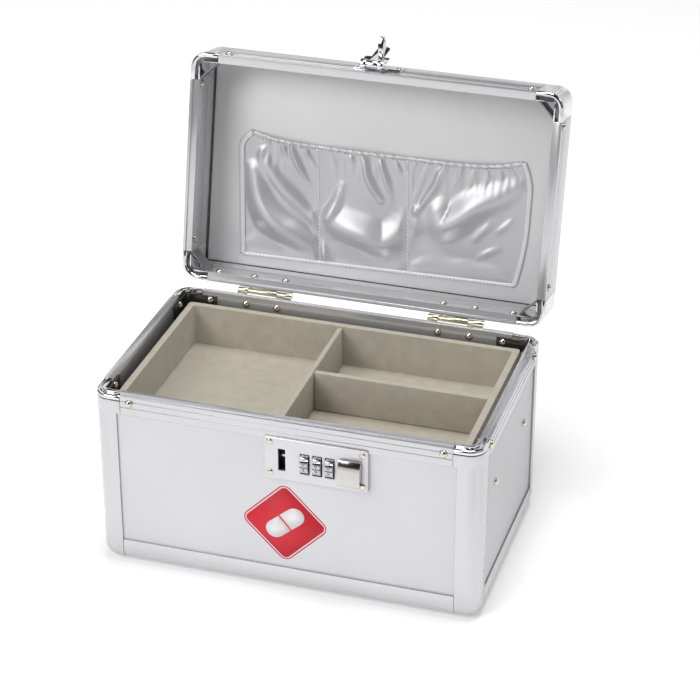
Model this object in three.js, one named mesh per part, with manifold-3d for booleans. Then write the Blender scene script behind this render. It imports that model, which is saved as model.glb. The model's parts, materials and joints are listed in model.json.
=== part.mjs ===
// Lockable medicine case with a hinged lid, a three-dial lock, a lift-out tray and a carry handle.
// Millimetres, +X right, +Y to the hinges, +Z up, origin under the middle of the base. The lid stands open.
import * as THREE from 'three';
import { RoundedBoxGeometry } from 'three/addons/geometries/RoundedBoxGeometry.js';
import { mergeVertices } from 'three/addons/utils/BufferGeometryUtils.js';
import Module from 'manifold-3d';

const wasm = await Module();
wasm.setup();

// Fits
const clearance = 0.3; // between pieces that seat on one another
const seam = 0.3; // between neighbouring edge sections
const overrun = 2; // how far a cutter or a joined piece runs past a face
const roundSteps = 6; // facets in a quarter turn of a large round
const axleSides = 16; // facets of a small cylinder

// Case
const caseWidth = 290;
const caseDepth = 178;
const baseHeight = 144;
const lidHeight = 45;
const partingGap = 0.4;
const edgeRadius = 12;
const openDegrees = 102.5;

// Edge sections and the panels that they hold
const postFace = 18;
const sillFace = 20;
const wallDepth = 7;
const skinThickness = 1;
const panelThickness = 3;
const slotReach = 6; // how far a panel enters its slots
const padProud = 1; // the floor and rear panels stand forward between the edge sections by this much
const rimHeight = 16;
const rimGrooves = [5, 10]; // below the rim's top
const grooveWidth = 0.9;
const grooveDepth = 0.5;
const tongueInset = 2.6;
const tongueHeight = 1.4;
const rimCornerLeg = 21;
const beadRadius = 2.1; // rolled edge of the polished corners
const beadProud = 0.5; // in front of the case's faces
const beadSides = 12; // facets of its round section
const beadBite = 0.4; // how far the corner's body stays inside the bead's outline

// Inner corner brackets
const bracketLeg = 33;
const bracketHeight = 12;
const bracketThickness = 1.2;
const bracketDrop = 3; // below the tongue's top, or above the lid's rim plane

// Lid inside
const lidFlangeHeight = 21;
const lidWallDepth = 6;
const lidGapHeight = 1.6; // groove between the flange and the wall above it
const lidGapReach = 3.5; // from the groove's bottom to the lid's face
const lidCornerLip = 1; // inner wall of the channel in a polished corner
const lidCornerChannel = 4.5; // depth of that channel above the rim plane
const gussetLeg = 12; // diagonal plate across a lid corner, along each wall
const gussetHeight = 13;
const gussetRise = 2.5;
const linerThickness = 1.2;
const linerFlange = 0.9; // lip of the top section between the liner and the top panel

// Pocket on the liner; front is measured from the lid's rear face
const pocketInsets = [32, 29.5]; // from the case's left and right sides
const pocketBottom = 18;
const pocketHeight = 95;
const pocketSeamShares = [0.28, 0.595]; // where the seams stand across the pocket
const pocketSheet = 1;
const pocketBulges = [13, 14, 16]; // how far each compartment stands off the liner
const pocketTakeUp = 8; // the elastic draws the top corner in by this much
const pocketSag = 3; // how far the mouth's edge dips between the seams
const foldHeight = 1.1;
const foldTurnShares = [1.4, 0.9, 0.3]; // turns across a compartment, up it, and from one to the next
const ruffleHeight = 0.7;
const rufflesPerCompartment = 4;
const crossRoundShare = 0.6; // low is square across a compartment, high is round
const footRoundShare = 0.8;
const footRiseShare = 0.45; // part of the height over which the foot swells out
const ruffleFade = 6; // power of the rise
const takeUpFade = 3;
const cellsPerCompartment = 12;
const cellsUp = 12;

// Hinges
const hingeInsets = [47.5, 45.7]; // from the case's left and right sides
const hingeLength = 43.8;
const hingeOffset = 3.5; // axis behind the rear face
const barrelRadius = 2.25;
const hingePinRadius = 1.2;
const leafThickness = 1.2;
const leafHeight = 12;
const knuckleGap = 0.4;
const knuckleShares = [0.19, 0.71]; // where the lid's knuckle starts and ends along the hinge

// Tray
const trayGapX = 6; // between the tray and the rim's inner face, across
const trayGapY = 5.5; // and from front to rear
const trayHeight = 37;
const trayDrop = 8; // below the rim's top
const trayWall = 5;
const trayFloor = 4;
const trayCorner = 3;
const trayInnerCorner = 2;
const dividerThickness = 4;
const longDividerX = -8;
const crossDividerThickness = 5;
const crossDividerY = 1;
const dividerDrop = 1; // below the tray's top
const ledgeInset = 31; // from the case's front and rear faces
const ledgeWidth = 14;
const ledgeHeight = 12;
const ledgeThickness = 1.2;

// Lock plate; the slot's centre line places everything on it
const slotX = -0.75;
const slotWidth = 5.5;
const slotHeight = 18;
const slotDrop = 31.3; // middle below the rim's top
const plateLeft = 13.25; // from the slot to the plate's left edge
const plateWidth = 77;
const plateHeight = 34;
const plateDrop = 30.7;
const plateThickness = 3;
const plateFace = 1.5; // thickness of the pressed front
const plateEdge = 2.2; // width of the folded rim behind it
const plateBevel = 0.5;
const plateCorner = 1;

// Lock dials
const dialCount = 3;
const dialOffset = 17.2; // first dial from the slot
const dialPitch = 9.3;
const dialWidth = 5.8;
const dialRadius = 8.7;
const dialDepth = 4.7; // axis behind the plate's front
const dialDrop = 32.1;
const dialDigits = 10;
const digitGroove = 0.5;
const grooveShares = [0, 0.14, 0.5, 0.86]; // a groove's bottom and three points of the digit's land
const dialWindowHeight = 16.9;
const dialWindowSide = 0.7;
const shaftRadius = 1.2;

// Lock housing, behind the plate and through the front panel
const housingInset = 4; // inside the plate's outline
const housingDepth = 10.5;
const housingWall = 1.5;
const housingBack = 1;
const ribThickness = 1.5;
const tonguePocketDepth = 6.8;
const dialHatchHeight = 9;

// Release slide
const knobOffset = 51.15; // from the slot to the knob's middle
const knobWidth = 16.2;
const knobHeight = 19.5;
const knobDrop = 32;
const knobProud = 6;
const knobLift = 1.3; // above the plate
const knobBevelHeight = 6;
const knobBevelDepth = 3.2;
const knobBottomBevel = 1;
const slideTravel = 4;
const stemWidth = 7;
const stemHeight = 6.5;
const carriageThickness = 2;
const boltBar = 2;
const boltNose = 1.6;
const lugThickness = 2;
const boltLeg = 2;
const springTurns = 6;
const springRadius = 1.5;
const springWire = 0.35;
const springSides = 5;
const springStepsPerTurn = 8;
const detentThickness = 0.8;
const detentStrip = 4;
const detentFinger = 4.5;
const detentWidth = 4;
const detentLean = 0.6;

// Hasp on the lid's front wall
const haspPinUp = -4.4; // the pin hangs below the lid's rim plane
const haspPinOff = 6.3; // in front of the wall
const haspPinRadius = 1.3;
const haspKnuckleRadius = 3.4;
const haspBaseWidth = 36;
const haspBaseHeight = 18;
const haspBaseUp = 8;
const haspSheet = 1.2;
const cheekThickness = 4;
const cheekGap = 9.4;
const cheekRadius = 4;
const flapRootWidth = 18.8;
const flapRootStart = 5.2; // from the pin to the wide part, past the cheeks
const flapRootEnd = 14;
const flapNeckWidth = 9.5;
const flapLength = 35;
const flapThickness = 1.6;
const flapSideGap = 0.4;
const tongueFromPin = 25.6;
const tongueLength = 9;
const tongueThickness = 4;
const tongueReach = 12; // from the flap's middle plane
const tongueShank = 7;
const tongueTip = 2.4;
const tongueHoleReach = 9;
const tongueHoleRadius = 1.6;
const haspFoldDegrees = 167;

// Carry handle on the lid's top panel
const handlePivotUp = 7.3; // above the top panel
const handleSpan = 92;
const handleReach = 32;
const handleBar = 10;
const handleArm = 8;
const handleThickness = 9;
const handleCorner = 9;
const handleBevel = 2;
const handlePinRadius = 2;
const earThickness = 3;
const earRadius = 4.5;
const footLength = 18;
const footWidth = 20;
const footThickness = 1.6;
const handleEndRadius = 4.5;

// Places worked out from the sizes
const rimBottom = baseHeight - rimHeight;
const shoulderZ = baseHeight - tongueHeight;
const beadInset = beadRadius - beadProud; // its middle, in from the case's faces
const beadWidth = beadInset + beadRadius; // from the case's faces to its inner side
const capBottom = shoulderZ - 2 * beadRadius;
const panelRecess = skinThickness + clearance;
const panelBack = panelRecess + panelThickness;
const panelEdge = postFace - slotReach;
const lidRimZ = baseHeight + partingGap;
const lidTopZ = lidRimZ + lidHeight;
const topPanelUp = lidHeight - panelRecess - panelThickness;
const linerUp = topPanelUp - clearance - linerFlange - clearance - linerThickness;
const hingeY = caseDepth / 2 + hingeOffset;
const hingeZ = baseHeight;
const hingeSpans = [
  [hingeInsets[0] - caseWidth / 2, hingeInsets[0] - caseWidth / 2 + hingeLength],
  [caseWidth / 2 - hingeInsets[1] - hingeLength, caseWidth / 2 - hingeInsets[1]],
];
const pocketSides = [pocketInsets[0] - caseWidth / 2, caseWidth / 2 - pocketInsets[1]];
const pocketSeams = pocketSeamShares.map((share) => pocketSides[0] + share * (pocketSides[1] - pocketSides[0]));
const pocketEdges = [pocketSides[0], ...pocketSeams, pocketSides[1]];
const trayWidth = caseWidth - 2 * (wallDepth + trayGapX);
const trayDepth = caseDepth - 2 * (wallDepth + trayGapY);
const trayTop = baseHeight - trayDrop;
const trayBottom = trayTop - trayHeight;
const slotZ = baseHeight - slotDrop;
const plateZ = baseHeight - plateDrop;
const dialZ = baseHeight - dialDrop;
const knobZ = baseHeight - knobDrop;
const plateFront = -caseDepth / 2 + panelRecess - clearance - plateThickness;
const housingFront = plateFront + plateThickness + clearance;
const housingRear = housingFront + housingDepth;
const dialY = plateFront + dialDepth;
const haspPinY = -caseDepth / 2 - haspPinOff;
const haspPinZ = lidRimZ + haspPinUp;
const sides = [
  { name: 'front', turn: 0, half: caseDepth / 2, run: caseWidth },
  { name: 'right', turn: 90, half: caseWidth / 2, run: caseDepth },
  { name: 'rear', turn: 180, half: caseDepth / 2, run: caseWidth },
  { name: 'left', turn: 270, half: caseWidth / 2, run: caseDepth },
];
const corners = [
  { name: 'front_left', x: -1, y: -1 },
  { name: 'front_right', x: 1, y: -1 },
  { name: 'rear_right', x: 1, y: 1 },
  { name: 'rear_left', x: -1, y: 1 },
];

// Materials
const finish = (color, roughness, metalness) => new THREE.MeshStandardMaterial({ color, roughness, metalness });
const silverSheet = finish(0xdcdce0, 0.45, 0.3);
const edgeAlloy = finish(0xd6d6da, 0.35, 0.8);
const chrome = finish(0xe6e6ea, 0.12, 1);
const darkSteel = finish(0x3a3936, 0.4, 0.7);
const yellowSteel = finish(0xcfc6a8, 0.35, 0.9);
const castZinc = finish(0x8f8f92, 0.5, 0.8);
const greyFelt = finish(0xb0aa9b, 0.95, 0);
const greySatin = finish(0xc6c6c8, 0.6, 0);
const silverVinyl = finish(0xcccdd2, 0.25, 0.2);
const blackPlastic = finish(0x1d1d1f, 0.55, 0);
const springSteel = finish(0x9fa2a6, 0.3, 0.9);

// Solids

function solid(geometry) {
  const bare = geometry.clone();
  bare.deleteAttribute('normal');
  bare.deleteAttribute('uv');
  const merged = mergeVertices(bare);
  const vertProperties = new Float32Array(merged.attributes.position.array);
  const triVerts = new Uint32Array(merged.index.array);
  return new wasm.Manifold(new wasm.Mesh({ numProp: 3, vertProperties, triVerts }));
}

function mesh(name, body, material) {
  const data = body.getMesh();
  const geometry = new THREE.BufferGeometry();
  geometry.setAttribute('position', new THREE.BufferAttribute(new Float32Array(data.vertProperties), 3));
  geometry.setIndex(new THREE.BufferAttribute(new Uint32Array(data.triVerts), 1));
  geometry.computeVertexNormals();
  const piece = new THREE.Mesh(geometry, material);
  piece.name = name;
  return piece;
}

function joined(bodies) {
  return bodies.reduce((whole, body) => whole.add(body));
}

function block([x0, x1], [y0, y1], [z0, z1]) {
  const box = new THREE.BoxGeometry(x1 - x0, y1 - y0, z1 - z0);
  return solid(box).translate([(x0 + x1) / 2, (y0 + y1) / 2, (z0 + z1) / 2]);
}

const about = (centre, length) => [centre - length / 2, centre + length / 2];

function outline(points) {
  return new THREE.Shape(points.map(([a, b]) => new THREE.Vector2(a, b)));
}

function prismZ(shape, [z0, z1]) {
  const options = { depth: z1 - z0, bevelEnabled: false, curveSegments: roundSteps };
  return solid(new THREE.ExtrudeGeometry(shape, options)).translate([0, 0, z0]);
}

// A (y, z) outline carried along X
function prismX(shape, [x0, x1]) {
  const options = { depth: x1 - x0, bevelEnabled: false, curveSegments: roundSteps };
  return solid(new THREE.ExtrudeGeometry(shape, options)).rotate([90, 0, 90]).translate([x0, 0, 0]);
}

function rodX(radius, [x0, x1], y, z, faces = axleSides) {
  const rod = new THREE.CylinderGeometry(radius, radius, x1 - x0, faces);
  return solid(rod).rotate([0, 0, 90]).translate([(x0 + x1) / 2, y, z]);
}

function roundedPlan(width, depth, radius) {
  const shape = new THREE.Shape();
  const [w, d] = [width / 2 - radius, depth / 2 - radius];
  shape.absarc(w, d, radius, 0, Math.PI / 2);
  shape.absarc(-w, d, radius, Math.PI / 2, Math.PI);
  shape.absarc(-w, -d, radius, Math.PI, 3 * Math.PI / 2);
  shape.absarc(w, -d, radius, 3 * Math.PI / 2, 2 * Math.PI);
  return shape;
}

// The case's plan, set in from its faces
function plan(inset, span) {
  const shape = roundedPlan(caseWidth - 2 * inset, caseDepth - 2 * inset, edgeRadius - inset);
  return prismZ(shape, span);
}

function ring([outer, inner], [z0, z1]) {
  return plan(outer, [z0, z1]).subtract(plan(inner, [z0 - overrun, z1 + overrun]));
}

function insetBlock(inset, span) {
  return block(about(0, caseWidth - 2 * inset), about(0, caseDepth - 2 * inset), span);
}

// A block along one side of the case: along its length, in from its face, and up
function sideBlock(side, endInset, depths, heights) {
  const length = about(0, side.run - 2 * endInset);
  return block(length, depths, heights).translate([0, -side.half, 0]).rotate([0, 0, side.turn]);
}

function cornerBlock(corner, leg, span) {
  const x = [corner.x * (caseWidth / 2 - leg), corner.x * (caseWidth / 2 + overrun)];
  const y = [corner.y * (caseDepth / 2 - leg), corner.y * (caseDepth / 2 + overrun)];
  const rising = (a, b) => a - b;
  return block(x.sort(rising), y.sort(rising), span);
}

// The rolled edge of one corner: a bend and two straight ends
function bead(corner, z) {
  const [x, y] = [corner.x * (caseWidth / 2 - edgeRadius), corner.y * (caseDepth / 2 - edgeRadius)];
  const ringShape = new THREE.TorusGeometry(edgeRadius - beadInset, beadRadius, beadSides, 4 * roundSteps);
  const span = [z - 2 * beadRadius, z + 2 * beadRadius];
  const bend = solid(ringShape).translate([x, y, z]).intersect(cornerBlock(corner, edgeRadius, span));
  const faceX = corner.x * (caseWidth / 2 - beadInset);
  const faceY = corner.y * (caseDepth / 2 - beadInset);
  const endX = corner.x * (caseWidth / 2 - rimCornerLeg);
  const endY = corner.y * (caseDepth / 2 - rimCornerLeg);
  const along = rodX(beadRadius, [Math.min(x, endX), Math.max(x, endX)], faceY, z, beadSides);
  const [y0, y1] = [Math.min(y, endY), Math.max(y, endY)];
  const across = rodX(beadRadius, [y0, y1], 0, 0, beadSides).rotate([0, 0, 90]).translate([faceX, 0, z]);
  return joined([bend, along, across]);
}

function roundedCase([z0, z1]) {
  const box = new RoundedBoxGeometry(caseWidth, caseDepth, z1 - z0, roundSteps, edgeRadius);
  return solid(box).translate([0, 0, (z0 + z1) / 2]);
}

// Base: panels, and the edge sections whose slots hold them

const wallSpan = [sillFace - slotReach, rimBottom + slotReach];
const floorSpan = [panelRecess, panelBack];

function wallPanel(side, grow = 0) {
  const [low, high] = wallSpan;
  return sideBlock(side, panelEdge - grow, [panelRecess - grow, panelBack + grow], [low - grow, high + grow]);
}

function rearPad(side) {
  const inset = postFace + clearance;
  const depths = [panelRecess - padProud, panelBack];
  return sideBlock(side, inset, depths, [sillFace + clearance, rimBottom - clearance]);
}

function floorPanel(grow = 0) {
  return insetBlock(panelEdge - grow, [floorSpan[0] - grow, floorSpan[1] + grow]);
}

function slots() {
  return joined([...sides.map((side) => wallPanel(side, clearance)), floorPanel(clearance)]);
}

function frameVoids() {
  const cavity = insetBlock(wallDepth, [wallDepth, baseHeight + edgeRadius + overrun]);
  const through = [-overrun, wallDepth + overrun];
  const windows = sides.map((side) => sideBlock(side, postFace, through, [sillFace, rimBottom]));
  const floorWindow = insetBlock(postFace, through);
  return joined([cavity, floorWindow, slots(), ...windows]);
}

function basePosts(voids) {
  const outer = roundedCase([0, baseHeight + edgeRadius]);
  const top = ring([0, wallDepth], [rimBottom, capBottom - seam]);
  return corners.map((corner) => {
    const foot = outer.intersect(cornerBlock(corner, postFace, [-overrun, rimBottom + seam]));
    const head = top.intersect(cornerBlock(corner, rimCornerLeg, [rimBottom, baseHeight]));
    return mesh(`post_${corner.name}`, foot.add(head).subtract(voids), edgeAlloy);
  });
}

function baseSills(voids) {
  const outer = roundedCase([0, baseHeight + edgeRadius]);
  return sides.map((side) => {
    const region = sideBlock(side, postFace + seam, [-overrun, postFace], [-overrun, sillFace]);
    return mesh(`sill_${side.name}`, outer.intersect(region).subtract(voids), edgeAlloy);
  });
}

function grooves(side, levels) {
  return levels.map((z) => sideBlock(side, -overrun, [-overrun, grooveDepth], about(z, grooveWidth)));
}

function baseRims() {
  const body = ring([0, wallDepth], [rimBottom, shoulderZ]);
  const tongue = ring([tongueInset, wallDepth], [shoulderZ - overrun, baseHeight]);
  const whole = body.add(tongue).subtract(slots());
  const levels = rimGrooves.map((drop) => baseHeight - drop);
  const depths = [-overrun, wallDepth + overrun];
  const rims = sides.map((side) => {
    const region = sideBlock(side, rimCornerLeg + seam, depths, [0, baseHeight + overrun]);
    const cut = joined(grooves(side, levels));
    return mesh(`rim_${side.name}`, whole.intersect(region).subtract(cut), edgeAlloy);
  });
  const capBody = ring([beadInset, wallDepth], [capBottom + beadBite, shoulderZ - beadBite]);
  const capTongue = ring([beadWidth + partingGap, wallDepth], [capBottom + beadBite, baseHeight]);
  const cap = capBody.add(capTongue).subtract(slots());
  const caps = corners.map((corner) => {
    const body = cap.intersect(cornerBlock(corner, rimCornerLeg, [0, baseHeight + overrun]));
    return mesh(`rim_corner_${corner.name}`, body.add(bead(corner, shoulderZ - beadRadius)), chrome);
  });
  return [...rims, ...caps];
}

function innerBrackets() {
  const seat = wallDepth + clearance;
  const top = baseHeight - bracketDrop;
  const band = ring([seat, seat + bracketThickness], [top - bracketHeight, top]);
  return corners.map((corner) => {
    const body = band.intersect(cornerBlock(corner, bracketLeg, [0, baseHeight]));
    return mesh(`bracket_${corner.name}`, body, darkSteel);
  });
}

function basePanels() {
  const cut = block(
    [housingX[0] - clearance, housingX[1] + clearance],
    [-caseDepth / 2 - overrun, -caseDepth / 2 + wallDepth + overrun],
    [housingZ[0] - clearance, housingZ[1] + clearance],
  );
  const shaped = {
    front: (whole) => whole.subtract(cut),
    rear: (whole, side) => whole.add(rearPad(side)),
  };
  const walls = sides.map((side) => {
    const whole = wallPanel(side);
    const shape = shaped[side.name];
    return mesh(`panel_${side.name}`, shape ? shape(whole, side) : whole, silverSheet);
  });
  const floorPad = insetBlock(postFace + clearance, [panelRecess - padProud, panelBack]);
  return [...walls, mesh('panel_floor', floorPanel().add(floorPad), silverSheet)];
}

function trayLedges() {
  const top = trayBottom - clearance;
  const seat = panelBack + clearance;
  const shape = outline([
    [seat, top],
    [seat, top - ledgeHeight],
    [seat + ledgeThickness, top - ledgeHeight],
    [seat + ledgeThickness, top - ledgeThickness],
    [seat + ledgeWidth, top - ledgeThickness],
    [seat + ledgeWidth, top],
  ]);
  return sides.filter((side) => ['left', 'right'].includes(side.name)).map((side) => {
    const body = prismX(shape, about(0, side.run - 2 * ledgeInset));
    const placed = body.translate([0, -side.half, 0]).rotate([0, 0, side.turn]);
    return mesh(`tray_ledge_${side.name}`, placed, darkSteel);
  });
}

// Hinges: the base's leaf carries the end knuckles and the pin, the lid's leaf the middle knuckle

function hingeParts([x0, x1], place) {
  const length = x1 - x0;
  const middle = knuckleShares.map((share) => x0 + share * length);
  const free = [middle[0] - knuckleGap, middle[1] + knuckleGap];
  const leafY = [caseDepth / 2 + clearance, caseDepth / 2 + clearance + leafThickness];
  const notch = barrelRadius + clearance;
  const ends = [[x0, free[0]], [free[1], x1]];
  const across = [leafY[0] - overrun, leafY[1] + overrun];

  const baseCut = block(free, across, [hingeZ - notch, hingeZ + overrun]);
  const baseLeaf = block([x0, x1], leafY, [hingeZ - leafHeight, hingeZ]).subtract(baseCut);
  const barrels = ends.map((span) => rodX(barrelRadius, span, hingeY, hingeZ));
  const pin = rodX(hingePinRadius, [x0, x1], hingeY, hingeZ);
  const lower = joined([baseLeaf, ...barrels, pin]);

  const endCuts = ends.map((span) => {
    const wide = [span[0] - knuckleGap, span[1] + knuckleGap];
    return block(wide, across, [hingeZ - overrun, hingeZ + notch]);
  });
  const lidLeaf = block([x0, x1], leafY, [hingeZ, hingeZ + leafHeight]).subtract(joined(endCuts));
  const barrel = rodX(barrelRadius, middle, hingeY, hingeZ);
  const bore = rodX(hingePinRadius + clearance, [x0 - overrun, x1 + overrun], hingeY, hingeZ);
  const upper = lidLeaf.add(barrel).subtract(bore);
  return [mesh(`hinge_${place}_base`, lower, yellowSteel), mesh(`hinge_${place}_lid`, upper, yellowSteel)];
}

// Tray and its dividers

function tray() {
  const shape = roundedPlan(trayWidth, trayDepth, trayCorner);
  const inner = roundedPlan(trayWidth - 2 * trayWall, trayDepth - 2 * trayWall, trayInnerCorner);
  const hollow = prismZ(inner, [trayBottom + trayFloor, trayTop + overrun]);
  const shell = prismZ(shape, [trayBottom, trayTop]).subtract(hollow);
  const height = [trayBottom + trayFloor + clearance, trayTop - dividerDrop];
  const insideX = trayWidth / 2 - trayWall - clearance;
  const insideY = trayDepth / 2 - trayWall - clearance;
  const long = block(about(longDividerX, dividerThickness), [-insideY, insideY], height);
  const start = longDividerX + dividerThickness / 2 + clearance;
  const cross = block([start, insideX], about(crossDividerY, crossDividerThickness), height);
  return [
    mesh('tray_shell', shell, greyFelt),
    mesh('tray_long_divider', long, greyFelt),
    mesh('tray_cross_divider', cross, greyFelt),
  ];
}

// Lock: plate, housing, dials, slide and springs

const plateX = [slotX - plateLeft, slotX - plateLeft + plateWidth];
const plateSpanZ = about(plateZ, plateHeight);
const housingX = [plateX[0] + housingInset, plateX[1] - housingInset];
const housingZ = [plateSpanZ[0] + housingInset, plateSpanZ[1] - housingInset];
const dialXs = Array.from({ length: dialCount }, (_, i) => slotX + dialOffset + i * dialPitch);
const lastDialEnd = dialXs[dialCount - 1] + dialWidth / 2;
const tongueRib = [slotX + slotWidth / 2 + clearance, slotX + slotWidth / 2 + clearance + ribThickness];
const shaftRib = [lastDialEnd + 2 * clearance, lastDialEnd + 2 * clearance + ribThickness];
const bayX = [tongueRib[1], housingX[1] - housingWall];
const bayZ = [housingZ[0] + housingWall, housingZ[1] - housingWall];
const bayRear = housingRear - housingBack;
const knobX = about(slotX + knobOffset, knobWidth);
const stemX = [knobX[0] + stemWidth / 2, knobX[0] + 3 * stemWidth / 2];
const carriageX = [stemX[0] - clearance, stemX[1] + clearance];
const carriageY = [housingFront + clearance, housingFront + clearance + carriageThickness];
const barZ = [bayZ[1] - clearance - boltBar, bayZ[1] - clearance];
const noseZ = haspPinZ - tongueFromPin;
const noseY = haspPinY + tongueHoleReach;
const springZ = bayZ[0] + clearance + springRadius + springWire + clearance;
const springY = carriageY[1] + clearance;

function lockPlate() {
  const flat = roundedPlan(plateWidth - 2 * plateBevel, plateHeight - 2 * plateBevel, plateCorner);
  const options = {
    depth: plateThickness - plateBevel,
    bevelThickness: plateBevel,
    bevelSize: plateBevel,
    bevelSegments: 1,
    curveSegments: 2,
  };
  const middleX = (plateX[0] + plateX[1]) / 2;
  const pressed = solid(new THREE.ExtrudeGeometry(flat, options)).rotate([90, 0, 0]);
  const back = plateFront + plateThickness;
  const whole = pressed.translate([middleX, back, plateZ]);
  const kept = block([plateX[0], plateX[1]], [plateFront - overrun, back], plateSpanZ);
  const hollow = block(
    [plateX[0] + plateEdge, plateX[1] - plateEdge],
    [plateFront + plateFace, back + overrun],
    [plateSpanZ[0] + plateEdge, plateSpanZ[1] - plateEdge],
  );
  const through = [plateFront - overrun, back + overrun];
  const windowWidth = dialWidth + 2 * dialWindowSide;
  const windows = dialXs.map((x) => block(about(x, windowWidth), through, about(dialZ, dialWindowHeight)));
  const slot = block(about(slotX, slotWidth), through, about(slotZ, slotHeight));
  const stemSlot = block(
    [stemX[0] - clearance, stemX[1] + slideTravel + clearance],
    through,
    about(knobZ, stemHeight + 2 * clearance),
  );
  const stepDepth = [-caseDepth / 2 - clearance, back + overrun];
  const rimStep = block(plateX, stepDepth, [rimBottom - clearance, baseHeight]);
  const cut = joined([hollow, rimStep, slot, stemSlot, ...windows]);
  return mesh('lock_plate', whole.intersect(kept).subtract(cut), silverSheet);
}

function lockHousing() {
  const through = [housingFront - overrun, housingRear + overrun];
  const body = block(housingX, [housingFront, housingRear], housingZ);
  const tongueHole = block(
    about(slotX, slotWidth + 2 * clearance),
    [housingFront - overrun, housingFront + tonguePocketDepth],
    about(slotZ, slotHeight + 2 * clearance),
  );
  const bay = block(bayX, [housingFront - overrun, bayRear], bayZ);
  const ribTop = barZ[0] - clearance;
  const rib = block(shaftRib, [housingFront, bayRear + clearance], [bayZ[0] - clearance, ribTop]);
  const shaftSpan = [tongueRib[0] - clearance, shaftRib[1] + clearance];
  const shaftHole = rodX(shaftRadius + clearance, shaftSpan, dialY, dialZ);
  const noseHole = block(
    [tongueRib[0] - overrun, tongueRib[1] + overrun],
    about(noseY, boltNose + 2 * clearance),
    about(noseZ, boltNose + 2 * clearance),
  );
  const hatchWidth = dialWidth + 2 * clearance;
  const hatchDepth = [bayRear - clearance, through[1]];
  const hatches = dialXs.map((x) => block(about(x, hatchWidth), hatchDepth, about(dialZ, dialHatchHeight)));
  const cut = joined([shaftHole, noseHole, ...hatches]);
  return mesh('lock_housing', body.subtract(tongueHole.add(bay)).add(rib).subtract(cut), castZinc);
}

function dialShaft() {
  const span = [tongueRib[0] + clearance, shaftRib[1] - clearance];
  return mesh('dial_shaft', rodX(shaftRadius, span, dialY, dialZ), springSteel);
}

function dials() {
  const sector = 2 * Math.PI / dialDigits;
  const points = [];
  for (let digit = 0; digit < dialDigits; digit += 1) {
    grooveShares.forEach((share, i) => {
      const radius = i === 0 ? dialRadius - digitGroove : dialRadius;
      const angle = (digit + share) * sector;
      points.push([radius * Math.cos(angle), radius * Math.sin(angle)]);
    });
  }
  const bore = rodX(shaftRadius + clearance, about(0, dialWidth + 2 * overrun), 0, 0);
  const wheel = prismX(outline(points), about(0, dialWidth)).subtract(bore);
  return dialXs.map((x, i) => {
    const dial = mesh(`dial_${i + 1}`, wheel, chrome);
    dial.position.set(x, dialY, dialZ);
    return dial;
  });
}

function releaseSlide() {
  const [low, high] = about(knobZ, knobHeight);
  const front = plateFront - knobProud;
  const under = plateFront - knobLift;
  const knob = prismX(outline([
    [under, low],
    [front + knobBottomBevel, low],
    [front, low + knobBottomBevel],
    [front, high - knobBevelHeight],
    [front + knobBevelDepth, high],
    [under, high],
  ]), knobX);
  const stem = block(stemX, [under - clearance, carriageY[1]], about(knobZ, stemHeight));
  const carriage = block(carriageX, carriageY, [knobZ - stemHeight / 2, barZ[1]]);
  const lugX = [carriageX[0], carriageX[0] + lugThickness];
  const lugRear = springY + springRadius + springWire;
  const lug = block(lugX, [carriageY[0], lugRear], [bayZ[0] + clearance, knobZ - stemHeight / 2 + boltBar]);
  const legX = [tongueRib[1] + clearance, tongueRib[1] + clearance + boltLeg];
  const barY = about(noseY, boltNose);
  const bar = block([legX[0], carriageX[1]], [barY[0], carriageY[1]], barZ);
  const noseBottom = noseZ - boltNose / 2;
  const leg = block(legX, barY, [noseBottom, barZ[1]]);
  const nose = block([slotX - tongueThickness / 2, legX[1]], barY, about(noseZ, boltNose));
  return mesh('release_slide', joined([knob, stem, carriage, lug, bar, leg, nose]), chrome);
}

class Coil extends THREE.Curve {
  constructor(radius, length, turns) {
    super();
    Object.assign(this, { radius, length, turns });
  }

  getPoint(share, target = new THREE.Vector3()) {
    const angle = 2 * Math.PI * this.turns * share;
    return target.set(this.length * share, this.radius * Math.cos(angle), this.radius * Math.sin(angle));
  }
}

function returnSpring() {
  const start = carriageX[0] + lugThickness + clearance + springWire;
  const end = bayX[1] - clearance - springWire;
  const section = new THREE.Shape();
  section.absarc(0, 0, springWire, 0, 2 * Math.PI);
  const options = {
    steps: springTurns * springStepsPerTurn,
    extrudePath: new Coil(springRadius, end - start, springTurns),
    curveSegments: springSides,
  };
  const wire = solid(new THREE.ExtrudeGeometry(section, options));
  return mesh('return_spring', wire.translate([start, springY, springZ]), springSteel);
}

function detentSpring() {
  const rear = bayRear - clearance;
  const low = bayZ[0] + clearance;
  const spanX = [tongueRib[1] + clearance, shaftRib[0] - clearance];
  const strip = block(spanX, [rear - detentStrip, rear], [low, low + detentThickness]);
  const finger = outline([
    [rear - detentThickness, low],
    [rear, low],
    [rear, low + detentFinger],
    [rear - detentLean - detentThickness / 2, low + detentFinger],
  ]);
  const fingers = dialXs.map((x) => prismX(finger, about(x, detentWidth)));
  return mesh('detent_spring', joined([strip, ...fingers]), springSteel);
}

// Lid, modelled closed on the base

const up = (height) => lidRimZ + height;
const topPanelSpan = [up(topPanelUp), up(topPanelUp + panelThickness)];

function topPanel(grow = 0) {
  return insetBlock(panelEdge - grow, [topPanelSpan[0] - grow, topPanelSpan[1] + grow]);
}

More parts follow.
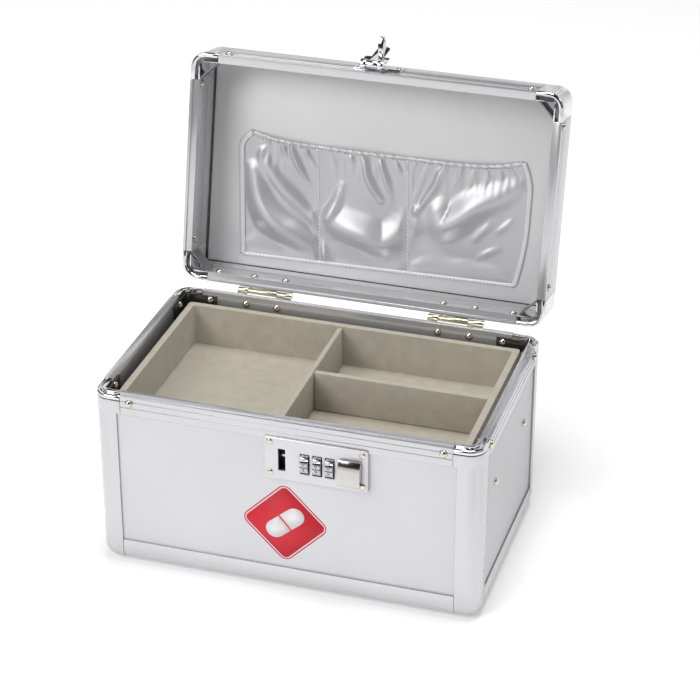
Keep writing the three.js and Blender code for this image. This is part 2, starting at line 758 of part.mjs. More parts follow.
function lidShell() {
  const outer = roundedCase([lidRimZ - edgeRadius, lidTopZ]);
  const upper = outer.intersect(insetBlock(-overrun, [lidRimZ, lidTopZ + overrun]));
  const skirt = ring([0, tongueInset - partingGap], [up(-tongueHeight), up(overrun)]);
  const flangeHollow = insetBlock(wallDepth, [lidRimZ - overrun, up(lidFlangeHeight + overrun)]);
  const hollow = insetBlock(lidWallDepth, [up(lidFlangeHeight), up(topPanelUp) - clearance - linerFlange]);
  const window = insetBlock(postFace, [up(lidFlangeHeight), lidTopZ + overrun]);
  const gap = plan(lidGapReach, [up(lidFlangeHeight), up(lidFlangeHeight + lidGapHeight)]);
  return upper.add(skirt).subtract(joined([flangeHollow, hollow, window, gap, topPanel(clearance)]));
}

function lidFrames(shell) {
  const levels = rimGrooves.map((rise) => up(rise));
  const heights = [baseHeight - rimHeight, lidTopZ + overrun];
  return sides.map((side) => {
    const region = sideBlock(side, rimCornerLeg + seam, [-overrun, postFace], heights);
    const cut = joined(grooves(side, levels));
    return mesh(`lid_frame_${side.name}`, shell.intersect(region).subtract(cut), edgeAlloy);
  });
}

// Diagonal plate across the inside of a lid corner, with its ends let into the walls
function gusset(corner) {
  const [x, y] = [caseWidth / 2 - wallDepth, caseDepth / 2 - wallDepth];
  const width = Math.SQRT2 * bracketThickness;
  const shape = outline([
    [corner.x * (x + seam), corner.y * (y - gussetLeg - seam)],
    [corner.x * (x - gussetLeg - seam), corner.y * (y + seam)],
    [corner.x * (x - gussetLeg - seam - width), corner.y * (y + seam)],
    [corner.x * (x + seam), corner.y * (y - gussetLeg - seam - width)],
  ]);
  return prismZ(shape, [up(gussetRise), up(gussetRise + gussetHeight)]);
}

function lidCorners(shell) {
  const beadZ = up(-tongueHeight) + beadRadius;
  const low = lidRimZ - rimHeight;
  const channelInner = wallDepth - lidCornerLip;
  const mouth = ring([-overrun, channelInner], [low, beadZ - beadBite]);
  const channel = ring([beadWidth - beadBite, channelInner], [low, up(lidCornerChannel)]);
  const cut = mouth.add(channel);
  return corners.map((corner) => {
    const region = cornerBlock(corner, rimCornerLeg, [low, lidTopZ + overrun]);
    const body = shell.intersect(region).subtract(cut);
    return mesh(`lid_corner_${corner.name}`, joined([body, bead(corner, beadZ), gusset(corner)]), chrome);
  });
}

function lidPanels() {
  const liner = insetBlock(lidWallDepth + clearance, [up(linerUp), up(linerUp + linerThickness)]);
  return [mesh('lid_panel', topPanel(), silverSheet), mesh('lid_liner', liner, greySatin)];
}

// Pocket: one gathered sheet, sewn down at its sides, its foot and two seams, and open at the top

function pocketStandOff(cell, share, rise) {
  const [foldsAcross, foldsUp, foldShift] = foldTurnShares;
  const across = Math.pow(Math.max(Math.sin(Math.PI * share), 0), crossRoundShare);
  const foot = Math.pow(Math.sin(Math.PI / 2 * Math.min(rise / footRiseShare, 1)), footRoundShare);
  const drape = Math.sin(2 * Math.PI * (foldsAcross * share + foldsUp * rise + foldShift * cell));
  const ruffle = Math.sin(2 * Math.PI * rufflesPerCompartment * share) * Math.pow(rise, ruffleFade);
  return across * (foot * (pocketBulges[cell] + foldHeight * drape) + ruffleHeight * ruffle);
}

function pocketPoint(column, row, behind) {
  const columns = cellsPerCompartment * pocketBulges.length;
  const cell = Math.min(Math.floor(column / cellsPerCompartment), pocketBulges.length - 1);
  const share = (column - cell * cellsPerCompartment) / cellsPerCompartment;
  const x = pocketEdges[cell] + share * (pocketEdges[cell + 1] - pocketEdges[cell]);
  const rise = row / cellsUp;
  const takeUp = pocketTakeUp * Math.pow(rise, takeUpFade) * (1 - column / columns);
  const dip = pocketSag * Math.sin(Math.PI * share) * rise;
  const front = pocketBottom + pocketHeight * rise - dip;
  const off = clearance + pocketStandOff(cell, share, rise) + (behind ? 0 : pocketSheet);
  return [x + takeUp, caseDepth / 2 - front, up(linerUp) - off];
}

function pocket() {
  const columns = cellsPerCompartment * pocketBulges.length;
  const positions = [];
  for (const behind of [false, true]) {
    for (let row = 0; row <= cellsUp; row += 1) {
      for (let column = 0; column <= columns; column += 1) {
        positions.push(...pocketPoint(column, row, behind));
      }
    }
  }
  const layer = (columns + 1) * (cellsUp + 1);
  const at = (column, row, behind) => (behind ? layer : 0) + row * (columns + 1) + column;
  const index = [];
  const quad = (a, b, c, d) => index.push(a, c, b, a, d, c);
  for (let row = 0; row < cellsUp; row += 1) {
    for (let column = 0; column < columns; column += 1) {
      const [right, above] = [column + 1, row + 1];
      quad(at(column, row, false), at(column, above, false), at(right, above, false), at(right, row, false));
      quad(at(column, row, true), at(right, row, true), at(right, above, true), at(column, above, true));
    }
  }
  for (let column = 0; column < columns; column += 1) {
    const right = column + 1;
    quad(at(column, 0, false), at(right, 0, false), at(right, 0, true), at(column, 0, true));
    const mouth = (place, inner) => at(place, cellsUp, inner);
    quad(mouth(right, false), mouth(column, false), mouth(column, true), mouth(right, true));
  }
  for (let row = 0; row < cellsUp; row += 1) {
    const above = row + 1;
    quad(at(0, above, false), at(0, row, false), at(0, row, true), at(0, above, true));
    quad(at(columns, row, false), at(columns, above, false), at(columns, above, true), at(columns, row, true));
  }
  const geometry = new THREE.BufferGeometry();
  geometry.setAttribute('position', new THREE.Float32BufferAttribute(positions, 3));
  geometry.setIndex(index);
  geometry.computeVertexNormals();
  const sheet = new THREE.Mesh(geometry, silverVinyl);
  sheet.name = 'lid_pocket';
  return sheet;
}

// Hasp: a riveted base with a pin between two cheeks, and the flap that swings on it

function haspBase() {
  const wall = -caseDepth / 2 - clearance;
  const plateSpan = [up(haspBaseUp), up(haspBaseUp + haspBaseHeight)];
  const plate = block(about(slotX, haspBaseWidth), [wall - haspSheet, wall], plateSpan);
  const foot = [wall - haspSheet, up(haspBaseUp + haspBaseHeight / 2)];
  const cheekOutline = outline([
    [wall, up(-haspPinUp)],
    [wall, foot[1]],
    foot,
    [haspPinY + cheekRadius / 2, haspPinZ + cheekRadius - clearance],
    [haspPinY, haspPinZ],
    [haspPinY + cheekRadius / 2, haspPinZ - cheekRadius + clearance],
  ].reverse());
  const cheeks = [-1, 1].map((hand) => {
    const inner = slotX + hand * cheekGap / 2;
    const span = hand < 0 ? [inner - cheekThickness, inner] : [inner, inner + cheekThickness];
    return prismX(cheekOutline, span).add(rodX(cheekRadius, span, haspPinY, haspPinZ));
  });
  const pin = rodX(haspPinRadius, about(slotX, cheekGap + cheekThickness), haspPinY, haspPinZ);
  return mesh('hasp_base', joined([plate, ...cheeks, pin]), chrome);
}

function haspFlap() {
  const knuckle = cheekGap / 2 - flapSideGap;
  const [wide, neck] = [flapRootWidth / 2, flapNeckWidth / 2];
  const shape = new THREE.Shape();
  shape.moveTo(-knuckle, 0);
  shape.lineTo(-knuckle, -flapRootStart);
  shape.lineTo(-wide, -flapRootStart);
  shape.lineTo(-wide, -flapRootEnd);
  shape.lineTo(-neck, -flapRootEnd);
  shape.lineTo(-neck, neck - flapLength);
  shape.absarc(0, neck - flapLength, neck, Math.PI, 2 * Math.PI);
  shape.lineTo(neck, -flapRootEnd);
  shape.lineTo(wide, -flapRootEnd);
  shape.lineTo(wide, -flapRootStart);
  shape.lineTo(knuckle, -flapRootStart);
  shape.lineTo(knuckle, 0);
  const options = { depth: flapThickness, bevelEnabled: false, curveSegments: roundSteps };
  const plate = solid(new THREE.ExtrudeGeometry(shape, options));
  const upright = plate.rotate([90, 0, 0]).translate([0, flapThickness / 2, 0]);
  const barrel = rodX(haspKnuckleRadius, [-knuckle, knuckle], 0, 0);
  const bore = rodX(haspPinRadius + clearance, about(0, cheekGap), 0, 0);
  const [low, high] = about(-tongueFromPin, tongueLength);
  const tongueShape = outline([
    [0, low],
    [tongueShank, low],
    [tongueReach, -tongueFromPin - tongueTip / 2],
    [tongueReach, -tongueFromPin + tongueTip / 2],
    [tongueShank, high],
    [0, high],
  ]);
  const tongue = prismX(tongueShape, about(0, tongueThickness));
  const hole = rodX(tongueHoleRadius, about(0, tongueThickness + 2 * overrun), tongueHoleReach, -tongueFromPin);
  const flap = mesh('hasp_flap', joined([upright, barrel, tongue]).subtract(bore.add(hole)), chrome);
  flap.position.set(slotX, haspPinY, haspPinZ);
  flap.rotation.x = THREE.MathUtils.degToRad(-haspFoldDegrees);
  return flap;
}

// Carry handle: a bail on two brackets, hanging straight down while the lid stands open

const pivotZ = topPanelSpan[1] + handlePivotUp;

function handleBrackets() {
  const foot = [topPanelSpan[1] + clearance, topPanelSpan[1] + clearance + footThickness];
  return [-1, 1].map((hand) => {
    const inner = handleSpan / 2 + clearance;
    const spanX = hand > 0 ? [inner, inner + earThickness] : [-inner - earThickness, -inner];
    const footX = hand > 0 ? [inner, inner + footLength] : [-inner - footLength, -inner];
    const plate = block(footX, about(0, footWidth), foot);
    const web = block(spanX, about(0, 2 * earRadius), [foot[0], pivotZ]);
    const lobe = rodX(earRadius, spanX, 0, pivotZ);
    const bore = rodX(handlePinRadius + clearance, about(0, caseWidth), 0, pivotZ);
    const bracket = joined([plate, web, lobe]).subtract(bore);
    return mesh(`handle_bracket_${hand > 0 ? 'right' : 'left'}`, bracket, chrome);
  });
}

function handleBail() {
  const half = handleSpan / 2 - handleBevel;
  const near = -handleEndRadius + handleBevel;
  const far = handleReach - handleBevel;
  const turn = handleCorner - handleBevel;
  const inner = handleSpan / 2 - handleArm + handleBevel;
  const under = handleReach - handleBar + handleBevel;
  const shape = new THREE.Shape();
  shape.moveTo(-half, near);
  shape.lineTo(-inner, near);
  shape.lineTo(-inner, under);
  shape.lineTo(inner, under);
  shape.lineTo(inner, near);
  shape.lineTo(half, near);
  shape.lineTo(half, far - turn);
  shape.absarc(half - turn, far - turn, turn, 0, Math.PI / 2);
  shape.absarc(-half + turn, far - turn, turn, Math.PI / 2, Math.PI);
  const options = {
    depth: handleThickness - 2 * handleBevel,
    bevelThickness: handleBevel,
    bevelSize: handleBevel,
    bevelSegments: 2,
    curveSegments: roundSteps,
  };
  const back = handleBevel - handleThickness / 2;
  const bail = solid(new THREE.ExtrudeGeometry(shape, options)).translate([0, 0, back]);
  const reach = handleSpan / 2 + clearance + earThickness;
  const pins = [-1, 1].map((hand) => {
    const span = hand > 0 ? [handleSpan / 2 - handleBevel, reach] : [-reach, -handleSpan / 2 + handleBevel];
    return rodX(handlePinRadius, span, 0, 0);
  });
  const body = mesh('handle_bail', joined([bail, ...pins]), blackPlastic);
  body.position.set(0, 0, pivotZ);
  body.rotation.x = THREE.MathUtils.degToRad(openDegrees) - Math.PI / 2;
  return body;
}

// Assembly

const group = new THREE.Group();
const voids = frameVoids();
group.add(...basePanels(), ...basePosts(voids), ...baseSills(voids), ...baseRims());
group.add(...innerBrackets(), ...trayLedges(), ...tray());
group.add(lockPlate(), lockHousing(), dialShaft(), ...dials(), releaseSlide(), returnSpring(), detentSpring());

const lid = new THREE.Group();
lid.position.set(0, hingeY, hingeZ);
lid.rotation.x = THREE.MathUtils.degToRad(-openDegrees);
const lidParts = new THREE.Group();
lidParts.position.set(0, -hingeY, -hingeZ);
lid.add(lidParts);
group.add(lid);

const shell = lidShell();
lidParts.add(...lidFrames(shell), ...lidCorners(shell), ...lidPanels(), pocket());
lidParts.add(haspBase(), haspFlap(), ...handleBrackets(), handleBail());
hingeSpans.forEach((span, i) => {
  const [lower, upper] = hingeParts(span, i === 0 ? 'left' : 'right');
  group.add(lower);
  lidParts.add(upper);
});

export default group;
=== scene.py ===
"""Looks of a lockable medicine case: silver panels in alloy edges, a dial lock, a felt tray and a lid pocket.

Everything is in metres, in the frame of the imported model. Sizes in millimetres are multiplied by MM.
"""

from __future__ import annotations

import json
import logging
import math
from collections.abc import Sequence
from dataclasses import dataclass, field
from enum import Enum
from functools import cache

import bmesh
import bpy
from mathutils import Matrix, Vector

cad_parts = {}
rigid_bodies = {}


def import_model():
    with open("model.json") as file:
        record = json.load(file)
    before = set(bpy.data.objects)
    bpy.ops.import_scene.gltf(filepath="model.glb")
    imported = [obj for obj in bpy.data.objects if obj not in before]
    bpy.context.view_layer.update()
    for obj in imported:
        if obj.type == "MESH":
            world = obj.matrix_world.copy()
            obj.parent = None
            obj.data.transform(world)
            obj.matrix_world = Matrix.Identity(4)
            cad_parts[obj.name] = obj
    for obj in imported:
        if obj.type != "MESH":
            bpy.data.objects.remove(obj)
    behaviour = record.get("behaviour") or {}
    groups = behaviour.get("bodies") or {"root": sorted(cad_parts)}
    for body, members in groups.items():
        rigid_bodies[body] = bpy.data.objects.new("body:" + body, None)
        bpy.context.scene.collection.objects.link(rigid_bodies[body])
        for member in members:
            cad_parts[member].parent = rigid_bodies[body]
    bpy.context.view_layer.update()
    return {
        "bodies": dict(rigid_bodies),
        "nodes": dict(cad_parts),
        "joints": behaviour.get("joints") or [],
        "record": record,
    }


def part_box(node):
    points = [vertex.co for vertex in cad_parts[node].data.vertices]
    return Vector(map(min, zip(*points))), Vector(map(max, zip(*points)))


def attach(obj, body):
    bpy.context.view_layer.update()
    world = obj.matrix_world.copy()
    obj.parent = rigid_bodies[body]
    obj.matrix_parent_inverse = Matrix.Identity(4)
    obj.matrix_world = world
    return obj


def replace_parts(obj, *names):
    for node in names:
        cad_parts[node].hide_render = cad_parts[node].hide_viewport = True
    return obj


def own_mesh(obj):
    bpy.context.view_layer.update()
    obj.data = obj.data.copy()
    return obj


MM = 0.001
LOG = logging.getLogger("medicine_case")
Colour = tuple[float, float, float]
Point = tuple[float, float, float]
Span = tuple[float, float]
Shape = bmesh.types.BMesh
Piece = bpy.types.Object
Place = tuple[Vector, Vector]


class Body(Enum):
    """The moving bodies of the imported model."""

    BASE = "base"
    LID = "lid"
    HASP = "hasp"
    RELEASE = "release"
    TRAY = "tray"
    HANDLE = "handle"
    DIAL_1 = "dial_1"
    DIAL_2 = "dial_2"
    DIAL_3 = "dial_3"


class Corner(Enum):
    """The four corners of the case, by the sides that meet there."""

    FRONT_LEFT = "front_left"
    FRONT_RIGHT = "front_right"
    REAR_RIGHT = "rear_right"
    REAR_LEFT = "rear_left"


class Side(Enum):
    """The four sides of the case."""

    FRONT = "front"
    RIGHT = "right"
    REAR = "rear"
    LEFT = "left"


@dataclass(frozen=True)
class CaseSizes:
    """Main sizes that the pieces of the scene share, in millimetres."""

    width: float = 290.0
    depth: float = 178.0
    base_height: float = 144.0
    parting_gap: float = 0.4
    open_degrees: float = 102.5
    hinge_offset: float = 3.5
    wall_depth: float = 7.0
    lid_wall: float = 6.0
    panel_recess: float = 1.3
    liner_up: float = 38.0

    def lid_pose(self) -> Matrix:
        """Turn from the closed lid to the open one, in metres."""
        axis = Vector((0.0, (self.depth / 2 + self.hinge_offset) * MM, self.base_height * MM))
        turn = Matrix.Rotation(math.radians(-self.open_degrees), 4, "X")
        return Matrix.Translation(axis) @ turn @ Matrix.Translation(-axis)

    def lid_point(self, x: float, front: float, up: float) -> Vector:
        """A point of the open lid.

        Args:
            x: Place across, in millimetres.
            front: Distance from the lid's rear face, in millimetres.
            up: Height above the lid's rim plane as closed, in millimetres.

        Returns:
            The point at rest, in metres.
        """
        closed = Vector((x, self.depth / 2 - front, self.base_height + self.parting_gap + up)) * MM
        return self.lid_pose() @ closed


CASE = CaseSizes()


class Value:
    """A number or colour socket that shader expressions are written with."""

    def __init__(self, graph: Graph, socket: bpy.types.NodeSocket) -> None:
        """Keep the graph for new nodes and the socket of the value."""
        self.graph = graph
        self.socket = socket

    def _maths(self, operation: str, first: object, second: object) -> Value:
        """The result of a new Math node."""
        node = self.graph.node("ShaderNodeMath", {"operation": operation}, {0: first, 1: second})
        return Value(self.graph, node.outputs[0])

    def __add__(self, other: object) -> Value:
        """Sum."""
        return self._maths("ADD", self, other)

    __radd__ = __add__

    def __sub__(self, other: object) -> Value:
        """Difference."""
        return self._maths("SUBTRACT", self, other)

    def __rsub__(self, other: object) -> Value:
        """Difference, reflected."""
        return self._maths("SUBTRACT", other, self)

    def __mul__(self, other: object) -> Value:
        """Product."""
        return self._maths("MULTIPLY", self, other)

    __rmul__ = __mul__

    def top(self, other: object) -> Value:
        """The larger of the two."""
        return self._maths("MAXIMUM", self, other)


class Graph:
    """The node tree of one material or world."""

    def __init__(self, tree: bpy.types.NodeTree) -> None:
        """Empty the tree."""
        self.tree = tree
        tree.nodes.clear()

    def node(
        self, kind: str, settings: dict[str, object] | None = None, inputs: dict | None = None,
    ) -> bpy.types.Node:
        """Add one node.

        Args:
            kind: The node's type name.
            settings: Properties that are set first, or the stops of a ramp under "stops".
            inputs: Values or links of its sockets, by name or number.

        Returns:
            The node.
        """
        made = self.tree.nodes.new(kind)
        for name, setting in (settings or {}).items():
            if name == "stops":
                self._stops(made.color_ramp, setting)
            else:
                setattr(made, name, setting)
        for name, given in (inputs or {}).items():
            if isinstance(given, Value):
                self.tree.links.new(given.socket, made.inputs[name])
            else:
                made.inputs[name].default_value = given
        return made

    @staticmethod
    def _stops(ramp: bpy.types.ColorRamp, stops: Sequence[tuple[float, Colour]]) -> None:
        """Set the stops of a colour ramp."""
        while len(ramp.elements) < len(stops):
            ramp.elements.new(0.5)
        for element, (place, colour) in zip(ramp.elements, stops):
            element.position = place
            element.color = (*colour, 1.0)

    def value(self, node: bpy.types.Node, output: int | str = 0) -> Value:
        """One output of a node as a value."""
        return Value(self, node.outputs[output])

    def noise(self, scale: float, detail: float, stretch: Point = (1.0, 1.0, 1.0)) -> Value:
        """Smooth noise from 0 to 1, with about `scale` cells in a metre."""
        place = self.value(self.node("ShaderNodeTexCoord"), "Object")
        place = self.value(self.node("ShaderNodeMapping", {}, {"Vector": place, "Scale": stretch}))
        made = self.node("ShaderNodeTexNoise", {}, {"Vector": place, "Scale": scale, "Detail": detail})
        return self.value(made, "Fac")

    def ramp(self, factor: Value, stops: Sequence[tuple[float, Colour]]) -> Value:
        """A colour that follows a value through a ramp."""
        return self.value(self.node("ShaderNodeValToRGB", {"stops": stops}, {"Fac": factor}))

    def bump(self, height: Value, distance: float) -> Value:
        """A normal from a height in units of `distance` metres."""
        return self.value(self.node("ShaderNodeBump", {}, {"Height": height, "Distance": distance}))

    def grey(self, level: Value) -> Value:
        """A value as a grey colour."""
        channels = dict.fromkeys(("Red", "Green", "Blue"), level)
        return self.value(self.node("ShaderNodeCombineColor", {}, channels))

    def seen_white(self) -> Value:
        """One on paths that see the background, straight, mirrored or through glass, and zero on others."""
        path = self.node("ShaderNodeLightPath")
        seen, mirrored, clear = (
            self.value(path, f"Is {ray} Ray") for ray in ("Camera", "Glossy", "Transmission")
        )
        return seen.top(mirrored).top(clear)

    def finish(self, shader: bpy.types.Node, output: str) -> None:
        """Join a shader to an output of the given type."""
        self.tree.links.new(shader.outputs[0], self.node(output).inputs["Surface"])

    def principled(self, **inputs: object) -> None:
        """Add the surface shader. Names of its inputs have underscores for spaces."""
        named = {name.replace("_", " "): given for name, given in inputs.items()}
        self.finish(self.node("ShaderNodeBsdfPrincipled", {}, named), "ShaderNodeOutputMaterial")


def shade(colour: Colour, share: float) -> Colour:
    """A colour made lighter or darker by a share."""
    return tuple(min(channel * share, 1.0) for channel in colour)


@dataclass(frozen=True)
class Finish:
    """A finish with soft colour variation, uneven gloss and fine relief.

    Attributes:
        name: The material's name.
        slot: The record's material slot.
        colour: Base colour, linear.
        metallic: Share of metal.
        roughness: Lowest and highest roughness.
        variation: How far the colour strays, as a share.
        blotch: Cells of the colour's pattern in a metre.
        grain: Cells of the relief in a metre.
        relief: Depth of the relief in metres.
        sheen: Sheen of short fibres.
        stray: Levels of the pattern where the colour is darkest and lightest.
        blotch_share: Share of the gloss that follows the blotches, and not the grain.
    """

    name: str
    slot: str
    colour: Colour
    metallic: float
    roughness: Span
    variation: float = 0.04
    blotch: float = 30.0
    grain: float = 1500.0
    relief: float = 2e-5
    sheen: float = 0.0
    stray: Span = (0.3, 0.7)
    blotch_share: float = 0.6

    @cache
    def build(self) -> bpy.types.Material:
        """Make the material, once."""
        material = bpy.data.materials.new(self.name)
        material.use_nodes = True
        graph = Graph(material.node_tree)
        colour_by, gloss_by, relief_by = self._pattern(graph)
        shades = (shade(self.colour, 1.0 - self.variation), shade(self.colour, 1.0 + self.variation))
        low, high = self.roughness
        graph.principled(
            Base_Color=graph.ramp(colour_by, list(zip(self.stray, shades))),
            Metallic=self.metallic,
            Roughness=gloss_by * (high - low) + low,
            Normal=graph.bump(relief_by, self.relief),
            Sheen_Weight=self.sheen,
        )
        return material

    def _pattern(self, graph: Graph) -> tuple[Value, Value, Value]:
        """What the colour, the gloss and the relief follow."""
        blotches, grain = graph.noise(self.blotch, detail=4.0), graph.noise(self.grain, detail=2.0)
        return blotches, blotches * self.blotch_share + grain * (1 - self.blotch_share), grain


@dataclass(frozen=True)
class Felt(Finish):
    """Flocked felt: matted fibres in two sizes, with a soft sheen."""

    stray: Span = (0.3, 0.72)
    fibre: float = 2600.0
    lie: Point = (1.0, 0.35, 1.0)
    fibre_share: float = 0.55

    def _pattern(self, graph: Graph) -> tuple[Value, Value, Value]:
        """Colour and relief follow the mats and fibres, and the gloss the fibres alone."""
        mats, fibres = graph.noise(self.blotch, detail=5.0), graph.noise(self.fibre, 4.0, self.lie)
        mixed = mats * (1 - self.fibre_share) + fibres * self.fibre_share
        return mixed, fibres, mixed


SILVER_BOARD = Finish(
    "silver_laminate", "silver_board", (0.645, 0.645, 0.67), 0.15, (0.34, 0.46), 0.025, 18, 900, 1e-5,
)
EDGE_ALLOY = Finish("satin_alloy", "edge_alloy", (0.60, 0.60, 0.62), 0.7, (0.22, 0.27), 0.012, 9, 500, 6e-7)
PLATED = Finish("plated_corner", "plated_corner", (0.72, 0.72, 0.74), 1.0, (0.07, 0.11), 0.02, 80, 500, 4e-7)
BRIGHT = Finish("bright_plate", "chrome", (0.72, 0.72, 0.74), 1.0, (0.07, 0.13), 0.03, 120, 500, 5e-7)
KNOB = Finish("knob_plate", "chrome", (0.56, 0.54, 0.525), 1.0, (0.12, 0.18), 0.03, 120, 500, 5e-7)
DIAL = Finish("dial_plate", "chrome", (0.50, 0.50, 0.51), 1.0, (0.12, 0.2), 0.05, 200, 500, 1e-6)
# Painted shade: a dark grey copy of the plated corner finish, for the gusset inside the lid's corners.
GUSSET_SHADE = Finish("gusset_painted_shade", "plated_corner", (0.22, 0.22, 0.23), 0.8, (0.2, 0.3), 0.06, 120, 500, 1e-6)
DARK_STEEL = Finish("dark_lacquer", "dark_steel", (0.10, 0.095, 0.09), 0.8, (0.16, 0.24), 0.2, 90, 900, 1e-5)
YELLOW_STEEL = Finish(
    "yellow_steel", "yellow_steel", (0.60, 0.56, 0.43), 1.0, (0.18, 0.32), 0.12, 160, 900, 1e-5,
)
LOCK_STEEL = Finish("lock_face", "lock_steel", (0.65, 0.65, 0.68), 0.4, (0.28, 0.38), 0.03, 60, 1200, 6e-6)
CAST = Finish("cast_zinc", "cast_zinc", (0.05, 0.05, 0.052), 0.5, (0.45, 0.6), 0.15, 120, 1200, 3e-5)
SPRING = Finish("spring_steel", "spring_steel", (0.35, 0.36, 0.38), 1.0, (0.2, 0.3), 0.05, 200, 900, 5e-6)
LINING = Finish("satin_lining", "grey_satin", (0.73, 0.725, 0.735), 0.3, (0.38, 0.46), 0.02, 14, 2400, 2e-5)
VINYL = Finish("silver_vinyl", "silver_vinyl", (0.585, 0.585, 0.61), 0.55, (0.39, 0.47), 0.03, 25, 160, 1e-4)
BINDING = Finish("binding_tape", "silver_vinyl", (0.70, 0.70, 0.725), 0.3, (0.36, 0.44), 0.03, 25, 160, 1e-4)
STITCHES = Finish("pocket_thread", "silver_vinyl", (0.84, 0.84, 0.86), 0.0, (0.5, 0.6), 0.06, 300, 3000, 3e-5)
MOULDED = Finish(
    "moulded_black", "black_plastic", (0.02, 0.02, 0.021), 0.0, (0.36, 0.5), 0.15, 80, 1500, 3e-5,
)
RIVET = Finish("rivet_metal", "chrome", (0.66, 0.59, 0.49), 1.0, (0.08, 0.14), 0.06, 300, 500, 1e-6)
BADGE_RED = Finish("badge_red", "silver_board", (0.63, 0.014, 0.03), 0.0, (0.55, 0.65), 0.03, 60, 900, 2e-6)
BADGE_WHITE = Finish("badge_white", "silver_board", (0.80, 0.79, 0.79), 0.0, (0.3, 0.4), 0.02, 60, 900, 1e-5)
FELT = Felt(
    "grey_felt", "grey_felt", (0.42, 0.385, 0.315), 0.0, (0.85, 0.98), 0.16, 120, 1500, 2.5e-4, sheen=0.25,
)


def finish_piece(piece: Piece, finish: Finish, body: Body) -> Piece:
    """Paint a new piece and let it ride on its body."""
    piece.data.materials.clear()
    piece.data.materials.append(finish.build())
    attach(piece, body.value)
    LOG.info("%s rides on %s", piece.name, body.value)
    return piece


def as_object(name: str, shape: Shape, smooth_degrees: float = 40.0) -> Piece:
    """Turn a bmesh into an object whose edges are sharp above an angle."""
    data = bpy.data.meshes.new(name)
    limit = math.radians(smooth_degrees)
    for face in shape.faces:
        face.smooth = True
    for edge in shape.edges:
        edge.smooth = len(edge.link_faces) == 2 and edge.calc_face_angle(0.0) < limit
    shape.to_mesh(data)
    shape.free()
    piece = bpy.data.objects.new(name, data)
    bpy.context.scene.collection.objects.link(piece)
    return piece


def bridge(shape: Shape, *loops: Sequence[bmesh.types.BMVert]) -> None:
    """Join each closed loop of vertices to the next one with a band of faces."""
    for low, high in zip(loops, loops[1:]):
        for i in range(len(low)):
            shape.faces.new((low[i - 1], low[i], high[i], high[i - 1]))


def lid_block(shape: Shape, across: Span, front: Span, up: Span) -> None:
    """Add a block, by its spans in the open lid as in CaseSizes.lid_point."""
    plan = [(across[i], front[j]) for i, j in ((0, 0), (1, 0), (1, 1), (0, 1))]
    low, high = ([shape.verts.new(CASE.lid_point(*spot, level)) for spot in plan] for level in up)
    shape.faces.new(low)
    shape.faces.new(list(reversed(high)))
    bridge(shape, low, high)
    bmesh.ops.recalc_face_normals(shape, faces=shape.faces)


@dataclass
class Joinery:
    """Fine copies of the model's hard pieces, with broken edges and smooth rounds."""

    nodes: dict[str, Piece]
    weld_mm: float = 0.002
    flat_degrees: float = 1.0
    sharp_degrees: float = 40.0
    segments: int = 2
    profile: float = 0.6

    def dress(self, node: str, finish: Finish, body: Body, break_mm: float = 0.35) -> Piece:
        """Make the visible form of a hard piece.

        Args:
            node: The model's node.
            finish: Its finish.
            body: The body that it rides on.
            break_mm: Width of the broken edges, in millimetres.

        Returns:
            The new piece, which stands for the node.
        """
        shape = bmesh.new()
        shape.from_mesh(self.nodes[node].data)
        bmesh.ops.remove_doubles(shape, verts=shape.verts, dist=self.weld_mm * MM)
        flat, limit = math.radians(self.flat_degrees), math.radians(self.sharp_degrees)
        bmesh.ops.dissolve_limit(shape, angle_limit=flat, verts=shape.verts, edges=shape.edges)
        if break_mm > 0:
            sharp = [e for e in shape.edges if len(e.link_faces) == 2 and e.calc_face_angle(0.0) > limit]
            bmesh.ops.bevel(
                shape, geom=sharp, offset=break_mm * MM, segments=self.segments, profile=self.profile,
                affect="EDGES", clamp_overlap=True,
            )
        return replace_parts(finish_piece(as_object(f"{node}_finished", shape), finish, body), node)


@dataclass(frozen=True)
class Rivet:
    """A domed rivet head, in millimetres."""

    radius: float = 3.0
    height: float = 2.4
    rings: int = 5
    sides: int = 20

    def build(self, name: str, places: Sequence[Place], finish: Finish, body: Body) -> Piece:
        """Make one object of several rivet heads.

        Args:
            name: Name of the object.
            places: Points in metres, each with the direction that its head faces.
            finish: The finish.
            body: The body that it rides on.

        Returns:
            The object.
        """
        shape = bmesh.new()
        for point, facing in places:
            stand = Matrix.Translation(point) @ facing.to_track_quat("Z", "Y").to_matrix().to_4x4()
            rings = [
                [shape.verts.new(stand @ self._at(ring, side)) for side in range(self.sides)]
                for ring in range(self.rings)
            ]
            shape.faces.new(list(reversed(rings[0])))
            bridge(shape, *rings)
            top, last = shape.verts.new(stand @ self._at(self.rings, 0)), rings[-1]
            for i in range(self.sides):
                shape.faces.new((last[i - 1], last[i], top))
        return finish_piece(as_object(name, shape), finish, body)

    def _at(self, ring: int, side: int) -> Vector:
        """A point of the dome, in metres."""
        lean, turn = math.pi / 2 * ring / self.rings, math.tau * side / self.sides
        radius = self.radius * math.cos(lean)
        return Vector((radius * math.cos(turn), radius * math.sin(turn), self.height * math.sin(lean))) * MM


